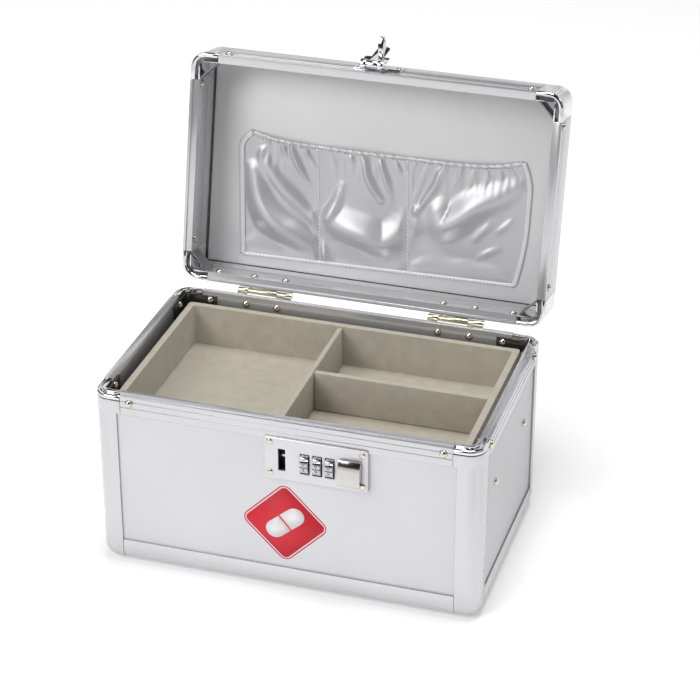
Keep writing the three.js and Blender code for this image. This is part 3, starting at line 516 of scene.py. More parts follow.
@dataclass
class CaseFittings:
    """Dresses the fixed pieces of the base and the lid. Sizes are in millimetres."""

    joinery: Joinery
    # Width, fit and height of the dark strips of painted shadow along the lining's edges.
    cord: float = 1.3
    hinge_side_cord: float = 0.45
    cord_fit: float = 0.15
    cord_height: float = 0.7
    gusset_fit: float = 0.3

    def build(self) -> None:
        """Make all of them."""
        base, lid, hands, single = Body.BASE, Body.LID, (Side.LEFT, Side.RIGHT), (None,)
        groups = (
            (Side, (
                ("panel_{}", SILVER_BOARD, base, 0.2), ("sill_{}", EDGE_ALLOY, base, 0.35),
                ("rim_{}", EDGE_ALLOY, base, 0.6), ("lid_frame_{}", EDGE_ALLOY, lid, 0.8),
            )),
            (Corner, (
                ("post_{}", EDGE_ALLOY, base, 0.35), ("rim_corner_{}", PLATED, base, 0.5),
                ("lid_corner_{}", PLATED, lid, 0.4), ("bracket_{}", DARK_STEEL, base, 0.3),
            )),
            (single, (
                ("panel_floor", SILVER_BOARD, base, 0.2), ("lid_panel", SILVER_BOARD, lid, 0.2),
                ("lid_liner", LINING, lid, 0.2),
            )),
            (hands, (
                ("tray_ledge_{}", DARK_STEEL, base, 0.2), ("hinge_{}_base", YELLOW_STEEL, base, 0.25),
                ("hinge_{}_lid", YELLOW_STEEL, lid, 0.25), ("handle_bracket_{}", BRIGHT, lid, 0.3),
            )),
            (single, (("handle_bail", MOULDED, Body.HANDLE, 0.3),)),
        )
        for places, rows in groups:
            for place in places:
                for name, finish, body, break_mm in rows:
                    node = name.format(place.value) if place else name
                    piece = self.joinery.dress(node, finish, body, break_mm)
                    if name == "lid_corner_{}":
                        self._grey_gusset(piece)
        self._liner_cord()

    def _liner_cord(self) -> None:
        """Lay dark strips between the lining and the lid's walls: painted shadow standing for the shade in
        the gap there.
        """
        inset = CASE.lid_wall + self.cord_fit
        half_w = CASE.width / 2 - inset
        near, far = inset, CASE.depth - inset
        between = (-half_w + self.cord, half_w - self.cord)
        level = (CASE.liner_up + self.cord_fit, CASE.liner_up - self.cord_height)
        shape = bmesh.new()
        lid_block(shape, (-half_w, between[0]), (near, far), level)
        lid_block(shape, (between[1], half_w), (near, far), level)
        lid_block(shape, between, (near, near + self.hinge_side_cord), level)
        lid_block(shape, between, (far - self.cord, far), level)
        # Painted shadow: dark lacquer strips where the gap between frame and lining only holds shade.
        finish_piece(as_object("liner_painted_shadow_strip", shape), DARK_STEEL, Body.LID)

    def _grey_gusset(self, piece: Piece) -> None:
        """Give the slanting gusset inside a lid corner a dark grey copy of the plated finish: painted shade
        in place of its bright reflection.
        """
        piece.data.materials.append(GUSSET_SHADE.build())
        back = CASE.lid_pose().inverted()
        inset = CASE.wall_depth + self.gusset_fit
        half_w, half_d = CASE.width / 2 - inset, CASE.depth / 2 - inset
        below_liner = CASE.base_height + CASE.parting_gap + CASE.liner_up
        for face in piece.data.polygons:
            middle = back @ face.center / MM
            if abs(middle.x) < half_w and abs(middle.y) < half_d and middle.z < below_liner:
                # These faces of the gusset take the painted shade.
                face.material_index = 1


@dataclass
class Tray:
    """Felt-covered lift-out tray with two dividers."""

    joinery: Joinery
    edge_mm: float = 1.5

    def build(self) -> None:
        """Dress the tray and its dividers."""
        for node in ("tray_shell", "tray_long_divider", "tray_cross_divider"):
            self.joinery.dress(node, FELT, Body.TRAY, self.edge_mm)


@dataclass
class Lock:
    """Lock plate, dials, release slide and inner pieces. Sizes are in millimetres."""

    joinery: Joinery
    text_size: float = 4.59
    text_depth: float = 0.06
    text_cuts: tuple[float, ...] = (-1.2, -0.8, -0.4, 0.0, 0.4, 0.8, 1.2)
    dial_radius: float = 8.66
    travel: float = 4.0
    pressed_back: float = 0.85
    digits: int = 10

    def build(self) -> None:
        """Dress the lock."""
        dress = self.joinery.dress
        dress("lock_plate", LOCK_STEEL, Body.BASE, break_mm=0.3)
        dress("lock_housing", CAST, Body.BASE, break_mm=0.0)
        dress("dial_shaft", SPRING, Body.BASE, break_mm=0.1)
        self._detent_spring()
        self._return_spring()
        dress("release_slide", KNOB, Body.RELEASE, break_mm=0.4)
        for body in (Body.DIAL_1, Body.DIAL_2, Body.DIAL_3):
            dress(body.value, DIAL, body, break_mm=0.25)
            self._numerals(body)

    def _detent_spring(self) -> None:
        """Dress the spring that clicks in the dials, a little pressed back by their numerals."""
        spring = self.joinery.dress("detent_spring", SPRING, Body.BASE, break_mm=0.0)
        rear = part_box("detent_spring")[1].y
        for vert in spring.data.vertices:
            vert.co.y = rear - (rear - vert.co.y) * self.pressed_back
        spring.data.update()

    def _return_spring(self) -> None:
        """Dress the spring that the slide presses together against the bay's far wall."""
        spring = self.joinery.dress("return_spring", SPRING, Body.BASE, break_mm=0.0)
        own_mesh(spring)

    def _numerals(self, body: Body) -> None:
        """Set the ten digits of one dial on its lands."""
        low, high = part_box(body.value)
        shape = bmesh.new()
        for digit in range(self.digits):
            self._digit(shape, digit, (low + high) / 2)
        finish_piece(as_object(f"{body.value}_numerals", shape), MOULDED, body)

    def _digit(self, shape: Shape, digit: int, middle: Vector) -> None:
        """Add one raised digit to the mesh."""
        text = bpy.data.curves.new("digit", "FONT")
        text.body = str(digit)
        text.size = self.text_size * MM
        text.extrude = self.text_depth * MM
        text.align_x = text.align_y = "CENTER"
        holder = bpy.data.objects.new("digit", text)
        bpy.context.scene.collection.objects.link(holder)
        bpy.context.view_layer.update()
        data = bpy.data.meshes.new_from_object(holder)
        outline = bmesh.new()
        outline.from_mesh(data)
        self._wrap(outline)
        angle = -math.tau * (digit + 0.5) / self.digits
        place = Matrix.Translation(middle) @ Matrix.Rotation(angle, 4, "X")
        bmesh.ops.transform(outline, matrix=place, verts=outline.verts)
        outline.to_mesh(data)
        outline.free()
        shape.from_mesh(data)
        bpy.data.batch_remove((holder, text, data))

    def _wrap(self, outline: Shape) -> None:
        """Cut a flat digit into short steps and bend it round the dial."""
        for cut in self.text_cuts:
            parts = [*outline.verts, *outline.edges, *outline.faces]
            bmesh.ops.bisect_plane(outline, geom=parts, plane_co=(0, cut * MM, 0), plane_no=(0, 1, 0))
        for vert in outline.verts:
            radius = self.dial_radius * MM + vert.co.z
            turn = vert.co.y / (self.dial_radius * MM)
            vert.co = Vector((vert.co.x, -radius * math.cos(turn), radius * math.sin(turn)))


@dataclass
class Hasp:
    """Hasp base and flap on the lid's front wall."""

    joinery: Joinery

    def build(self) -> None:
        """Dress the hasp."""
        self.joinery.dress("hasp_base", BRIGHT, Body.LID, 0.25)
        self.joinery.dress("hasp_flap", BRIGHT, Body.HASP, 0.3)


@dataclass
class Badge:
    """Generic red badge on the front: an outlined lozenge with a white capsule on it, in millimetres."""

    middle: Span = (0.0, 58.0)
    half: float = 34.0
    rounding: float = 6.8
    least_rounding: float = 2.0
    outline: float = 1.3
    gap: float = 1.5
    capsule: Span = (17.0, 7.2)
    capsule_lean: float = 40.0
    split: float = 1.3
    layer: float = 0.12
    steps: int = 10

    def build(self) -> None:
        """Make the red print and the white capsule."""
        red, white = bmesh.new(), bmesh.new()
        outer, inner = self._lozenge(0.0), self._lozenge(self.outline)
        rims = ((outer, 0), (outer, 1), (inner, 1), (inner, 0))
        bridge(red, *(self._loop(red, line, level) for line, level in rims))
        self._patch(red, self._lozenge(self.outline + self.gap), 1)
        for side in (-1, 1):
            self._patch(white, self._half_capsule(side), 2)
        finish_piece(as_object("badge_ground", red), BADGE_RED, Body.BASE)
        finish_piece(as_object("badge_capsule", white), BADGE_WHITE, Body.BASE)

    def _arc(self, middle: Span, radius: float, start: float, sweep: float) -> list[Span]:
        """Points along a part of a circle, from an angle through a sweep."""
        turns = [start + sweep * step / self.steps for step in range(self.steps + 1)]
        return [(middle[0] + radius * math.cos(turn), middle[1] + radius * math.sin(turn)) for turn in turns]

    def _lozenge(self, inset: float) -> list[Span]:
        """Outline of a square on its point with rounded corners."""
        radius = max(self.rounding - inset, self.least_rounding)
        away = self.half - inset - radius * math.sqrt(2)
        points = []
        for lean in (math.pi / 2 * corner for corner in range(4)):
            middle = (away * math.cos(lean), away * math.sin(lean))
            points += self._arc(middle, radius, lean - math.pi / 4, math.pi / 2)
        return points

    def _half_capsule(self, side: int) -> list[Span]:
        """Outline of one half of the capsule, which leans to the right."""
        length, radius = self.capsule
        cap = self._arc((length - radius, 0.0), radius, -math.pi / 2, math.pi)
        ends = [(self.split / 2, -radius), *cap, (self.split / 2, radius)]
        lean = math.radians(self.capsule_lean)
        run, rise = side * math.cos(lean), side * math.sin(lean)
        return [(a * run - b * rise, a * rise + b * run) for a, b in ends]

    def _loop(self, shape: Shape, line: list, level: int) -> list[bmesh.types.BMVert]:
        """One closed line of the print, on its layer."""
        out = CASE.depth / 2 - CASE.panel_recess + self.layer * level
        across, up = self.middle
        return [shape.verts.new(Vector((across + x, -out, up + z)) * MM) for x, z in line]

    def _patch(self, shape: Shape, line: list, level: int) -> None:
        """Add a flat patch with its rim down to the panel."""
        foot, top = self._loop(shape, line, 0), self._loop(shape, line, level)
        bridge(shape, foot, top)
        shape.faces.new(top)


@dataclass
class CaseRivets:
    """Every rivet head, in millimetres from the case's own planes."""

    head: Rivet = Rivet()
    plate_head: Rivet = Rivet(2.6, 1.25)
    rim_x: float = 117.0
    rim_y: float = 66.0
    rim_drop: float = 6.5
    hinge_x: tuple[float, ...] = (-88.0, -63.0, 66.0, 90.5)
    ledge_y: float = 43.0
    ledge_z: float = 93.0
    bracket_in: float = 8.2
    plate_x: tuple[float, ...] = (-9.6, 59.2)
    plate_z: tuple[float, ...] = (101.3, 126.6)
    plate_out: float = 91.0
    hasp_x: tuple[float, ...] = (-15.8, 14.2)
    hasp_rise: float = 17.0
    lid_rise: float = 6.0
    lid_rear_rise: float = 4.0
    lid_front_x: tuple[float, ...] = (-117.0, 119.0)
    lid_side_fronts: tuple[float, ...] = (30.0, 153.0)
    lid_rear_x: tuple[float, ...] = (-115.5, -86.5, -61.0, 65.5, 90.5, 120.0)

    def build(self) -> None:
        """Make the rivets of the base and the lid."""
        half_w, half_d = CASE.width / 2, CASE.depth / 2
        inner_x, inner_y = half_w - self.bracket_in, half_d - self.bracket_in
        level = CASE.base_height - self.rim_drop
        front, back, left, right = (Vector(way) for way in ((0, -1, 0), (0, 1, 0), (-1, 0, 0), (1, 0, 0)))
        spots = [((x, half_d - CASE.wall_depth, level), front) for x in self.hinge_x]
        for side, out, inward in ((-1, left, right), (1, right, left)):
            x = side * self.rim_x
            spots += [((x, -half_d, level), front), ((x, half_d, level), back), ((x, inner_y, level), front)]
            panel = side * (half_w - CASE.panel_recess)
            for end in (-1, 1):
                spots.append(((side * half_w, end * self.rim_y, level), out))
                spots.append(((side * inner_x, end * self.rim_y, level), inward))
                spots.append(((panel, end * self.ledge_y, self.ledge_z), out))
        plate = [((x, -self.plate_out, z), front) for x in self.plate_x for z in self.plate_z]
        for name, head, group in (("base_rivets", self.head, spots), ("lock_rivets", self.plate_head, plate)):
            head.build(name, [(Vector(spot) * MM, way) for spot, way in group], RIVET, Body.BASE)
        self.head.build("lid_rivets", self._lid_places(), RIVET, Body.LID)

    def _lid_places(self) -> list[Place]:
        """Places of the lid's rivets, turned with the open lid."""
        turn = CASE.lid_pose().to_3x3()
        ahead, inward = turn @ Vector((0, -1, 0)), turn @ Vector((1, 0, 0))
        spots = [(x, CASE.depth, self.lid_rise) for x in self.lid_front_x]
        spots += [(x, CASE.depth, self.hasp_rise) for x in self.hasp_x]
        spots += [(x, CASE.wall_depth, self.lid_rear_rise) for x in self.lid_rear_x]
        half_w = CASE.width / 2
        ends = (half_w, -half_w + CASE.wall_depth)
        sides = [(x, front, self.lid_rise) for front in self.lid_side_fronts for x in ends]
        places = [(CASE.lid_point(*spot), ahead) for spot in spots]
        return places + [(CASE.lid_point(*spot), inward) for spot in sides]


@dataclass(frozen=True)
class Tube:
    """A closed tube for welts, bindings and thread, by half its width and thickness in millimetres."""

    across: float
    through: float
    sides: int = 8

    def add(self, shape: Shape, line: Sequence[Vector], normal: Vector, ripple: float = 0.0) -> None:
        """Add the tube to a mesh.

        Args:
            shape: The mesh.
            line: Points of its middle line, in metres.
            normal: Direction of its thickness.
            ripple: How much every other ring shrinks, as a share.
        """
        rings = []
        for i, point in enumerate(line):
            run = (line[min(i + 1, len(line) - 1)] - line[max(i - 1, 0)]).normalized()
            side = run.cross(normal).normalized()
            size = (1.0 - ripple * (i % 2)) * MM
            wide, thick = side * self.across * size, side.cross(run) * self.through * size
            turns = [math.tau * k / self.sides for k in range(self.sides)]
            rings.append([shape.verts.new(point + wide * math.cos(t) + thick * math.sin(t)) for t in turns])
        bridge(shape, *rings)
        shape.faces.new(list(reversed(rings[0])))
        shape.faces.new(rings[-1])


@dataclass(frozen=True)
class Fold:
    """One fold of the pocket's sheet: a ridge along places across and up the lining, in millimetres.

    The slope on the line's left reaches out by `above`, and the one on its right by `below`. `start` and
    `end` are shares of the height at the line's ends.
    """

    line: tuple[Span, ...]
    height: float
    above: float
    below: float
    start: float
    end: float
    parts: int = 4

    def crest(self) -> list[Vector]:
        """The line with its bends rounded."""
        points = [Vector(place) for place in self.line]
        ends = [2 * points[0] - points[1], *points, 2 * points[-1] - points[-2]]
        rounded = []
        for a, b, c, d in zip(ends, ends[1:], ends[2:], ends[3:]):
            bend, twist = 2 * a - 5 * b + 4 * c - d, 3 * b - a - 3 * c + d
            for t in (step / self.parts for step in range(self.parts)):
                rounded.append((2 * b + (c - a) * t + bend * t ** 2 + twist * t ** 3) / 2)
        return [*rounded, points[-1]]

    def heights(self, places: Sequence[Vector]) -> list[float]:
        """How far the fold lifts each place of the sheet, in millimetres."""
        crest = self.crest()
        reach = max(self.above, self.below)
        low = Vector((min(c.x for c in crest) - reach, min(c.y for c in crest) - reach))
        high = Vector((max(c.x for c in crest) + reach, max(c.y for c in crest) + reach))
        inside = [low.x < at.x < high.x and low.y < at.y < high.y for at in places]
        return [self._height(crest, at) if near else 0.0 for at, near in zip(places, inside)]

    def _height(self, crest: Sequence[Vector], at: Vector) -> float:
        """The lift at one place, from the nearest point of the crest."""
        best = (math.inf, 0.0, 0.0)
        for i, (a, b) in enumerate(zip(crest, crest[1:])):
            along = min(max((at - a).dot(b - a) / (b - a).length_squared, 0.0), 1.0)
            away = at - a.lerp(b, along)
            if away.length < best[0]:
                turn = (b - a).x * away.y - (b - a).y * away.x
                side = turn / max((b - a).length * away.length, 0.001)
                best = (away.length, side, (i + along) / (len(crest) - 1))
        distance, side, share = best
        reach = self.below + (self.above - self.below) * (1 + side) / 2
        swell = self.start + (1 - self.start) * math.sin(math.pi * min(share, 0.5))
        swell *= 1 - (1 - self.end) * math.sin(math.pi / 2 * max(2 * share - 1, 0.0)) ** 2
        return self.height * swell * (1 + math.cos(math.pi * min(distance / reach, 1.0))) / 2


@dataclass
class Pocket:
    """Gathered vinyl pocket, sewn to the lining at its sides, foot and two seams, with an elastic mouth.

    The sheet starts from its folds and settles in a short cloth simulation. Sizes are in millimetres, and a
    rise is a share of the way from the foot to the mouth.
    """

    foot_edges: tuple[float, ...] = (-108.0, -44.0, 27.5, 112.0)
    lean: tuple[float, ...] = (-6.4, -7.5, -6.6, 0.0)
    foot: Span = (15.6, 19.6)
    mouth: tuple[float, float, float] = (114.0, 108.3, 115.6)
    mouth_sharpness: int = 5
    corner_in: float = 10.0
    corner_from: float = 0.86
    side_out: float = 6.0
    side_in: float = 6.5
    side_from: float = 0.75
    belly: float = 4.5
    belly_from: float = 0.35
    roundness: float = 0.7
    mouth_off: float = 2.0
    edge_off: float = 0.6
    gather: float = 0.75
    gather_pitch: float = 6.2
    gather_from: float = 0.72
    seam_reach: float = 5.0
    foot_reach: float = 0.1
    hem_from: float = 0.93
    hem_hold: float = 0.6
    spare: Span = (1.25, 1.08)
    spacing: float = 1.5
    frames: int = 9
    most_moved: float = 3.0
    evenings: int = 10
    evening: float = 0.7
    least_off: float = 0.45
    easing: float = 0.55
    thickness: float = 0.4
    board_reach: float = 20.0
    board_foot: float = 8.0
    board_depth: float = 6.0
    hem_rows: int = 2
    folds: tuple[Fold, ...] = tuple(Fold(*row) for row in (
        (((-104, 83), (-98, 65), (-90, 53), (-78, 43), (-65, 37), (-52, 29), (-44, 22)), 8, 13, 20, 0.5, 0.7),
        (((-101, 101), (-90, 84), (-76, 70), (-62, 59), (-50, 49)), 3.2, 9, 8, 0.5, 0.6),
        (((-84, 111), (-80, 103), (-75, 93)), 2.4, 3.2, 3.2, 0.9, 0.3),
        (((-75, 111), (-70, 96), (-63, 85), (-56, 77)), 3.4, 3.6, 3.6, 0.8, 0.4),
        (((-66, 110), (-60, 101), (-52, 91)), 3, 3.6, 4, 0.8, 0.6),
        (((-89, 111), (-94, 103), (-99, 95)), 1.8, 3, 3, 0.9, 0.3),
        (((-42, 52), (-26, 46), (-9, 42), (6, 37), (19, 46), (27, 57)), 7.5, 20, 16, 0.6, 0.6),
        (((-30, 78), (-34, 65), (-40, 54)), 3, 6, 8, 0.4, 0.8),
        (((-16, 110), (-12, 94), (-6, 81), (2, 71)), 3.2, 4.5, 4, 0.8, 0.4),
        (((-4, 110), (1, 97), (7, 82), (10, 72)), 3, 3.8, 3.8, 0.8, 0.3),
        (((8, 109), (13, 100), (19, 89)), 2.8, 3.4, 3.4, 0.8, 0.4),
        (((17, 108), (20, 99), (23, 89)), 2.2, 2.6, 2.6, 0.8, 0.4),
        (((-29, 110), (-25, 102), (-22, 93)), 2, 3.5, 3.5, 0.8, 0.2),
        (((-43, 110), (-39, 100), (-37, 88)), 1.8, 3.5, 3.5, 0.8, 0.3),
        (((53, 111), (44, 90), (34, 74), (29, 67)), 3.6, 4.6, 5, 0.8, 0.8),
        (((39, 109), (34, 92), (29, 77), (28, 68)), 2.2, 3, 3, 0.8, 0.6),
        (((27, 108), (25, 92), (28, 72)), 1.8, 2.6, 2.6, 0.7, 0.7),
        (((46, 68), (52, 59), (64, 65), (77, 76), (93, 85), (113, 98)), 7, 18, 15, 0.6, 0.5),
        (((79, 53), (86, 62), (95, 73)), 2, 4.5, 5.5, 0.6, 0.3),
        (((97, 61), (104, 68), (110, 75)), 1.8, 3.8, 4.5, 0.6, 0.4),
        (((82, 38), (89, 43), (98, 48)), 1.3, 3.5, 4.5, 0.5, 0.5),
        (((64, 110), (62, 98), (58, 87)), 2.2, 3, 3, 0.9, 0.2),
        (((74, 110), (73, 100), (71, 90)), 2, 2.6, 2.6, 0.9, 0.2),
        (((83, 110), (85, 101), (83, 93)), 1.9, 2.6, 2.6, 0.9, 0.2),
        (((92, 112), (95, 104), (97, 98)), 1.8, 2.6, 2.6, 0.9, 0.2),
        (((100, 113), (103, 107), (107, 102)), 1.6, 2.4, 2.4, 0.9, 0.2),
    ))
    vinyl: dict[str, object] = field(default_factory=lambda: {
        "vertex_group_mass": "sewn", "quality": 8, "mass": 0.2, "tension_stiffness": 15.0,
        "compression_stiffness": 15.0, "shear_stiffness": 5.0, "bending_stiffness": 1.5,
    })
    cloth: Piece | None = None
    shares: list[tuple[int, float, float]] = field(default_factory=list)

    @property
    def rows(self) -> int:
        """Rows of faces from the foot to the mouth."""
        return round((self.mouth[1] - self.foot[0]) / self.spacing)

    def build(self) -> None:
        """Make the sheet, its welt, bindings and stitches."""
        self.cloth = self._sheet()
        self._let_go()
        self._keep_off()
        self._thicken()
        finish_piece(self.cloth, VINYL, Body.LID)
        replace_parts(self.cloth, "lid_pocket")
        pieces = self._trim()

    @staticmethod
    def _past(rise: float, start: float) -> float:
        """Share of the way from a start to the mouth, or zero below the start."""
        return max(rise - start, 0.0) / (1 - start)

    def _edges(self, rise: float) -> list[float]:
        """Places across of the sewn lines at a rise."""
        places = [foot + lean * rise for foot, lean in zip(self.foot_edges, self.lean)]
        places[0] += self.corner_in * self._past(rise, self.corner_from) ** 2
        places[-1] += self.side_out * math.sin(math.pi / 2 * min(2 * rise, 1.0))
        places[-1] -= self.side_in * self._past(rise, self.side_from) ** 2
        return places

    def _place(self, cell: int, share: float, rise: float) -> Vector:
        """A point of the sheet on the lining, across and up it."""
        edges = self._edges(rise)
        x = edges[cell] + share * (edges[cell + 1] - edges[cell])
        whole = (x - edges[0]) / (edges[-1] - edges[0])
        foot = self.foot[0] + whole * (self.foot[1] - self.foot[0])
        end = self.mouth[0] if whole < 0.5 else self.mouth[2]
        mouth = self.mouth[1] + (end - self.mouth[1]) * abs(2 * whole - 1) ** self.mouth_sharpness
        return Vector((x, foot + (mouth - foot) * rise))

    def _bulge(self, share: float, rise: float, x: float) -> float:
        """How far the sheet stands off the lining without its folds."""
        edge = math.sin(math.pi * share) ** self.roundness if 0 < share < 1 else 0.0
        up = math.sin(math.pi / 2 * min(rise / self.belly_from, 1.0))
        body = self.belly + (self.mouth_off - self.belly) * rise ** 3
        gathers = self.gather * math.sin(math.tau * x / self.gather_pitch)
        return self.edge_off + edge * (up * body + gathers * self._past(rise, self.gather_from))

    def _sheet(self) -> Piece:
        """Make the sheet, with the group of its sewn points."""
        widths = [end - start for start, end in zip(self.foot_edges, self.foot_edges[1:])]
        line = [(0, 0.0)]
        for cell, width in enumerate(widths):
            columns = round(width / self.spacing)
            line += [(cell, i / columns) for i in range(1, columns + 1)]
        self.shares = [(cell, share, row / self.rows) for row in range(self.rows + 1) for cell, share in line]
        places = [self._place(*spot) for spot in self.shares]
        lifts = [sum(lift) for lift in zip(*(fold.heights(places) for fold in self.folds))]
        shape = bmesh.new()
        verts = []
        for (cell, share, rise), place, lift in zip(self.shares, places, lifts):
            near_seam = min(min(share, 1 - share) * widths[cell] / self.seam_reach, 1.0)
            near_foot = min(rise / self.foot_reach, 1.0)
            free = math.sin(math.pi / 2 * near_seam) * math.sin(math.pi / 2 * near_foot)
            free *= 1 - self.hem_hold * self._past(rise, self.hem_from)
            off = self._bulge(share, rise, place.x) + lift * free
            verts.append(shape.verts.new(CASE.lid_point(place.x, place.y, CASE.liner_up - off)))
        wide = len(line)
        for at in range(self.rows * wide):
            if (at + 1) % wide:
                shape.faces.new((verts[at], verts[at + 1], verts[at + 1 + wide], verts[at + wide]))
        piece = as_object("pocket_sheet", shape, 180.0)
        held = [i for i, (_, *spot) in enumerate(self.shares) if {0.0, 1.0} & set(spot)]
        piece.vertex_groups.new(name="sewn").add(held, 1.0, "REPLACE")
        return piece

    def _let_go(self) -> None:
        """Run the cloth for a short time and keep where it has come to."""
        start = [vert.co.copy() for vert in self.cloth.data.vertices]
        board = self._board()
        cloth = self.cloth.modifiers.new("cloth", "CLOTH")
        for name, setting in self.vinyl.items():
            setattr(cloth.settings, name, setting)
        cloth.collision_settings.distance_min = self.thickness * MM
        cloth.point_cache.frame_start, cloth.point_cache.frame_end = 1, self.frames
        for frame in range(1, self.frames + 1):
            bpy.context.scene.frame_set(frame)
        settled = self.cloth.evaluated_get(bpy.context.evaluated_depsgraph_get())
        data = bpy.data.meshes.new_from_object(settled)
        moved = [vert.co - home for vert, home in zip(data.vertices, start)]
        LOG.info("the cloth moved %.1f mm at most", max(away.length for away in moved) / MM)
        for vert, home, away in zip(data.vertices, start, self._evened(data, moved)):
            vert.co = home + away * min(self.most_moved * MM / max(away.length, 1e-9), 1.0)
        self.cloth.modifiers.clear()
        self.cloth.data = data
        bpy.data.objects.remove(board)
        bpy.context.scene.frame_set(1)

    def _evened(self, data: bpy.types.Mesh, moved: list[Vector]) -> list[Vector]:
        """Moves averaged with their neighbours, so that sag stays and chatter goes."""
        near = [[] for _ in moved]
        for edge in data.edges:
            a, b = edge.vertices
            near[a].append(b)
            near[b].append(a)
        free = [not vert.groups for vert in data.vertices]
        for _ in range(self.evenings):
            mean = [sum((moved[j] for j in around), Vector()) / len(around) for around in near]
            moved = [a.lerp(b, self.evening) if loose else Vector() for a, b, loose in zip(moved, mean, free)]
        return moved

    def _board(self) -> Piece:
        """A board in the lining's place that the cloth can't pass."""
        shape = bmesh.new()
        reach = self.board_reach
        across = (self.foot_edges[0] - reach, self.foot_edges[-1] + reach)
        level = (CASE.liner_up, CASE.liner_up + self.board_depth)
        lid_block(shape, across, (self.board_foot, self.mouth[2] + reach), level)
        board = as_object("pocket_board", shape)
        board.modifiers.new("stop", "COLLISION")
        board.collision.thickness_outer = 0.3 * MM
        return board

    def _keep_off(self) -> None:
        """Keep the sheet just off the lining, with an easy bend where it comes down to it."""
        out = self._outward()
        level = CASE.lid_point(0, 0, CASE.liner_up)
        for vert in self.cloth.data.vertices:
            off = (vert.co - level).dot(out) / MM
            if off < self.easing + self.least_off:
                eased = self.least_off + self.easing * math.exp((off - self.least_off) / self.easing - 1)
                vert.co += out * (eased - off) * MM

    def _thicken(self) -> None:
        """Smooth the sheet and give it the vinyl's thickness."""
        smooth = self.cloth.modifiers.new("smooth", "SUBSURF")
        smooth.levels = smooth.render_levels = 1
        self.cloth.modifiers.new("thickness", "SOLIDIFY").thickness = self.thickness * MM

    @staticmethod
    def _outward() -> Vector:
        """Direction off the lining, into the lid."""
        return CASE.lid_pose().to_3x3() @ Vector((0.0, 0.0, -1.0))

    def _line(self, lift: float, seam: tuple[int, float] | None = None, row: int = 0) -> list[Vector]:
        """Points of the settled sheet along a seam or a row.

        Args:
            lift: Distance off the sheet towards the viewer, in millimetres.
            seam: Compartment and share of the seam or side, or None for a row.
            row: Number of the row, from the foot.

        Returns:
            The points, in metres.
        """
        out = self._outward() * lift * MM
        points = zip(self.cloth.data.vertices, self.shares)
        if seam:
            return [vert.co + out for vert, (cell, share, _) in points if (cell, share) == seam]
        return [vert.co + out for vert, (*_, rise) in points if round(rise * self.rows) == row]

    def _trim(self) -> list[Piece]:
        """The mouth's elastic edge, the bindings of the sides and foot, and the thread."""
        welt, bindings, stitches = (bmesh.new() for _ in range(3))
        out, left, right = self._outward(), (0, 0.0), (len(self.foot_edges) - 2, 1.0)
        Tube(1.7, 1.1).add(welt, self._line(lift=0.3, row=self.rows), out, ripple=0.3)
        Tube(2.2, 0.6).add(bindings, self._line(lift=0.5, seam=right), out, ripple=0.12)
        Tube(2.6, 0.6).add(bindings, self._line(lift=0.45, seam=left), out, ripple=0.18)
        Tube(1.5, 0.5).add(bindings, self._line(lift=0.4), out)
        runs = [self._line(lift=0.9), self._line(lift=0.9, seam=left)]
        runs.append(self._line(lift=0.5, row=self.rows - self.hem_rows))
        runs += [self._line(lift=0.4, seam=(seam, 1.0)) for seam in range(right[0])]
        for run in runs:
            for a, b in list(zip(run, run[1:]))[::2]:
                Tube(0.5, 0.35, 6).add(stitches, [a, a.lerp(b, 0.25), a.lerp(b, 0.75), b], out)
        return [
            finish_piece(as_object("pocket_welt", welt, 80.0), BINDING, Body.LID),
            finish_piece(as_object("pocket_bindings", bindings), BINDING, Body.LID),
            finish_piece(as_object("pocket_stitches", stitches), STITCHES, Body.LID),
        ]


@dataclass(frozen=True)
class Lamp:
    """A soft lamp that looks at the case, in metres and watts."""

    name: str
    place: Point
    size: Span
    power: float
    mirrored: bool = True


@dataclass(frozen=True)
class Flag:
    """A dark card outside the picture, which the polished metal mirrors, in metres."""

    name: str
    place: Point
    size: Span
    shade: float


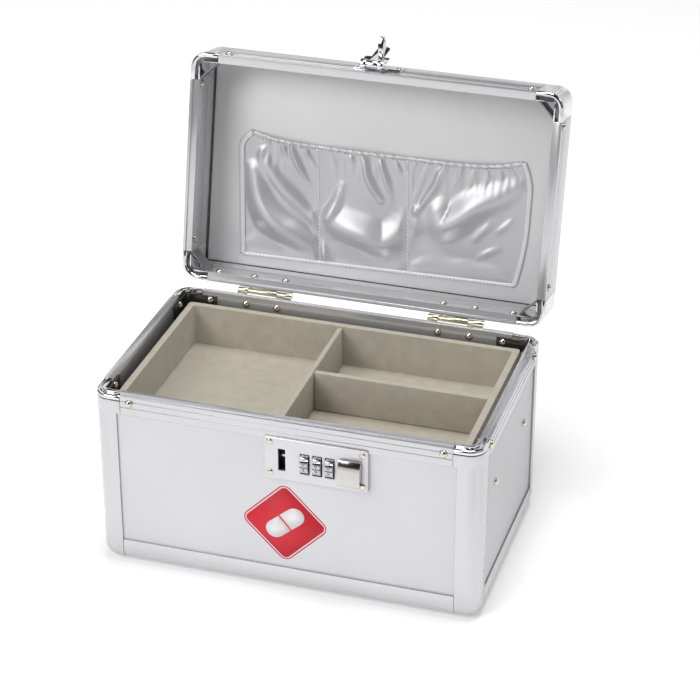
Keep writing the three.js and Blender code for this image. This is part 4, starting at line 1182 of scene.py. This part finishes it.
@dataclass
class Studio:
    """Camera, lamps, floor and surroundings."""

    eye: Point = (0.46565, -1.4339, 0.97855)
    right: Point = (0.9553, 0.2957, 0.0)
    up: Point = (-0.1419, 0.4584, 0.8774)
    back: Point = (0.2594, -0.8381, 0.4798)
    focal_px: float = 2345.59
    frame_px: float = 700.0
    sensor: float = 36.0
    aim: Point = (0.0, 0.05, 0.14)
    surround: float = 0.31
    floor_lift: float = 0.205
    lamps: tuple[Lamp, ...] = (
        Lamp("key", (-1.6, -2.4, 2.4), (1.7, 1.7), 57.0),
        Lamp("front", (0.4, -3.4, 0.9), (1.8, 1.2), 15.0, False),
        Lamp("fill", (1.7, -0.9, 0.8), (1.2, 0.9), 0.8),
        Lamp("top", (0.1, 0.15, 2.2), (0.9, 0.8), 28.0),
    )
    flags: tuple[Flag, ...] = (
        Flag("flag_front", (0.5, -4.2, 2.1), (9.0, 2.8), 0.02),
        Flag("flag_high", (0.3, -3.0, 4.4), (7.0, 3.2), 0.02),
        Flag("flag_above", (0.2, 0.9, 3.2), (5.0, 3.4), 0.03),
        Flag("flag_left", (-3.8, -0.4, 1.5), (5.0, 2.0), 0.03),
        Flag("flag_right", (3.8, -0.6, 1.6), (4.0, 2.0), 0.04),
        Flag("flag_back", (-1.2, 4.4, 1.6), (6.0, 1.7), 0.05),
    )

    def build(self) -> None:
        """Make them all."""
        self._camera()
        self._world()
        self._floor()
        for lamp in self.lamps:
            self._lamp(lamp)
        for flag in self.flags:
            self._flag(flag)

    def _camera(self) -> None:
        """Put the camera where the photograph was taken."""
        data = bpy.data.cameras.new("camera")
        data.sensor_fit = "HORIZONTAL"
        data.sensor_width = self.sensor
        data.lens = self.focal_px / self.frame_px * self.sensor
        camera = bpy.data.objects.new("camera", data)
        axes = Matrix((self.right, self.up, self.back)).transposed().to_4x4()
        camera.matrix_world = Matrix.Translation(self.eye) @ axes
        bpy.context.scene.collection.objects.link(camera)
        bpy.context.scene.camera = camera

    def _facing(self, place: Point) -> Matrix:
        """The stand of something at a place that looks at the case."""
        look = Vector(self.aim) - Vector(place)
        return Matrix.Translation(place) @ look.to_track_quat("-Z", "Y").to_matrix().to_4x4()

    def _lamp(self, lamp: Lamp) -> None:
        """Add one lamp."""
        data = bpy.data.lights.new(lamp.name, "AREA")
        data.shape = "RECTANGLE"
        data.size, data.size_y = lamp.size
        data.energy = lamp.power
        holder = bpy.data.objects.new(lamp.name, data)
        holder.matrix_world = self._facing(lamp.place)
        holder.visible_glossy = lamp.mirrored
        bpy.context.scene.collection.objects.link(holder)

    def _flag(self, flag: Flag) -> None:
        """Add one dark card."""
        shape = bmesh.new()
        bmesh.ops.create_grid(shape, x_segments=1, y_segments=1, size=0.5)
        card = as_object(flag.name, shape)
        card.matrix_world = self._facing(flag.place) @ Matrix.Diagonal((*flag.size, 1.0, 1.0))
        grey = (flag.shade,) * 3
        card.data.materials.append(Finish(flag.name, "", grey, 0.0, (0.9, 1.0)).build())
        card.visible_camera = card.visible_diffuse = card.visible_shadow = False

    def _world(self) -> None:
        """Surround the case with white to the eye and in mirrors, and with plain light."""
        world = bpy.data.worlds.new("studio")
        world.use_nodes = True
        graph = Graph(world.node_tree)
        white = graph.seen_white()
        plain, full = (*(self.surround,) * 3, 1.0), (1.0,) * 4
        mixed = graph.node("ShaderNodeMix", {"data_type": "RGBA"}, {0: white, 6: plain, 7: full})
        background = graph.node("ShaderNodeBackground", {}, {"Color": graph.value(mixed, 2), "Strength": 1.0})
        graph.finish(background, "ShaderNodeOutputWorld")
        bpy.context.scene.world = world

    def _floor(self) -> None:
        """Lay a white floor that keeps the case's shadow."""
        shape = bmesh.new()
        bmesh.ops.create_grid(shape, x_segments=1, y_segments=1, size=6.0)
        floor = as_object("studio_floor", shape)
        material = bpy.data.materials.new("studio_floor")
        material.use_nodes = True
        graph = Graph(material.node_tree)
        wear = graph.noise(3.0, detail=3.0)
        graph.principled(
            Base_Color=graph.ramp(wear, [(0.0, (0.92, 0.92, 0.92)), (1.0, (0.94, 0.94, 0.94))]),
            Roughness=0.9,
            Specular_IOR_Level=0.1,
            Emission_Color=graph.grey(graph.seen_white() * self.floor_lift),
            Emission_Strength=1.0,
        )
        floor.data.materials.append(material)


def main() -> None:
    """Dress the case and light it."""
    logging.basicConfig(level=logging.INFO, format="%(message)s")
    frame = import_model()
    bpy.context.scene.view_settings.view_transform = "Standard"
    joinery = Joinery(frame["nodes"])
    Studio().build()
    CaseFittings(joinery).build()
    Tray(joinery).build()
    Lock(joinery).build()
    Hasp(joinery).build()
    CaseRivets().build()
    Badge().build()
    Pocket().build()


if __name__ == "__main__":
    main()
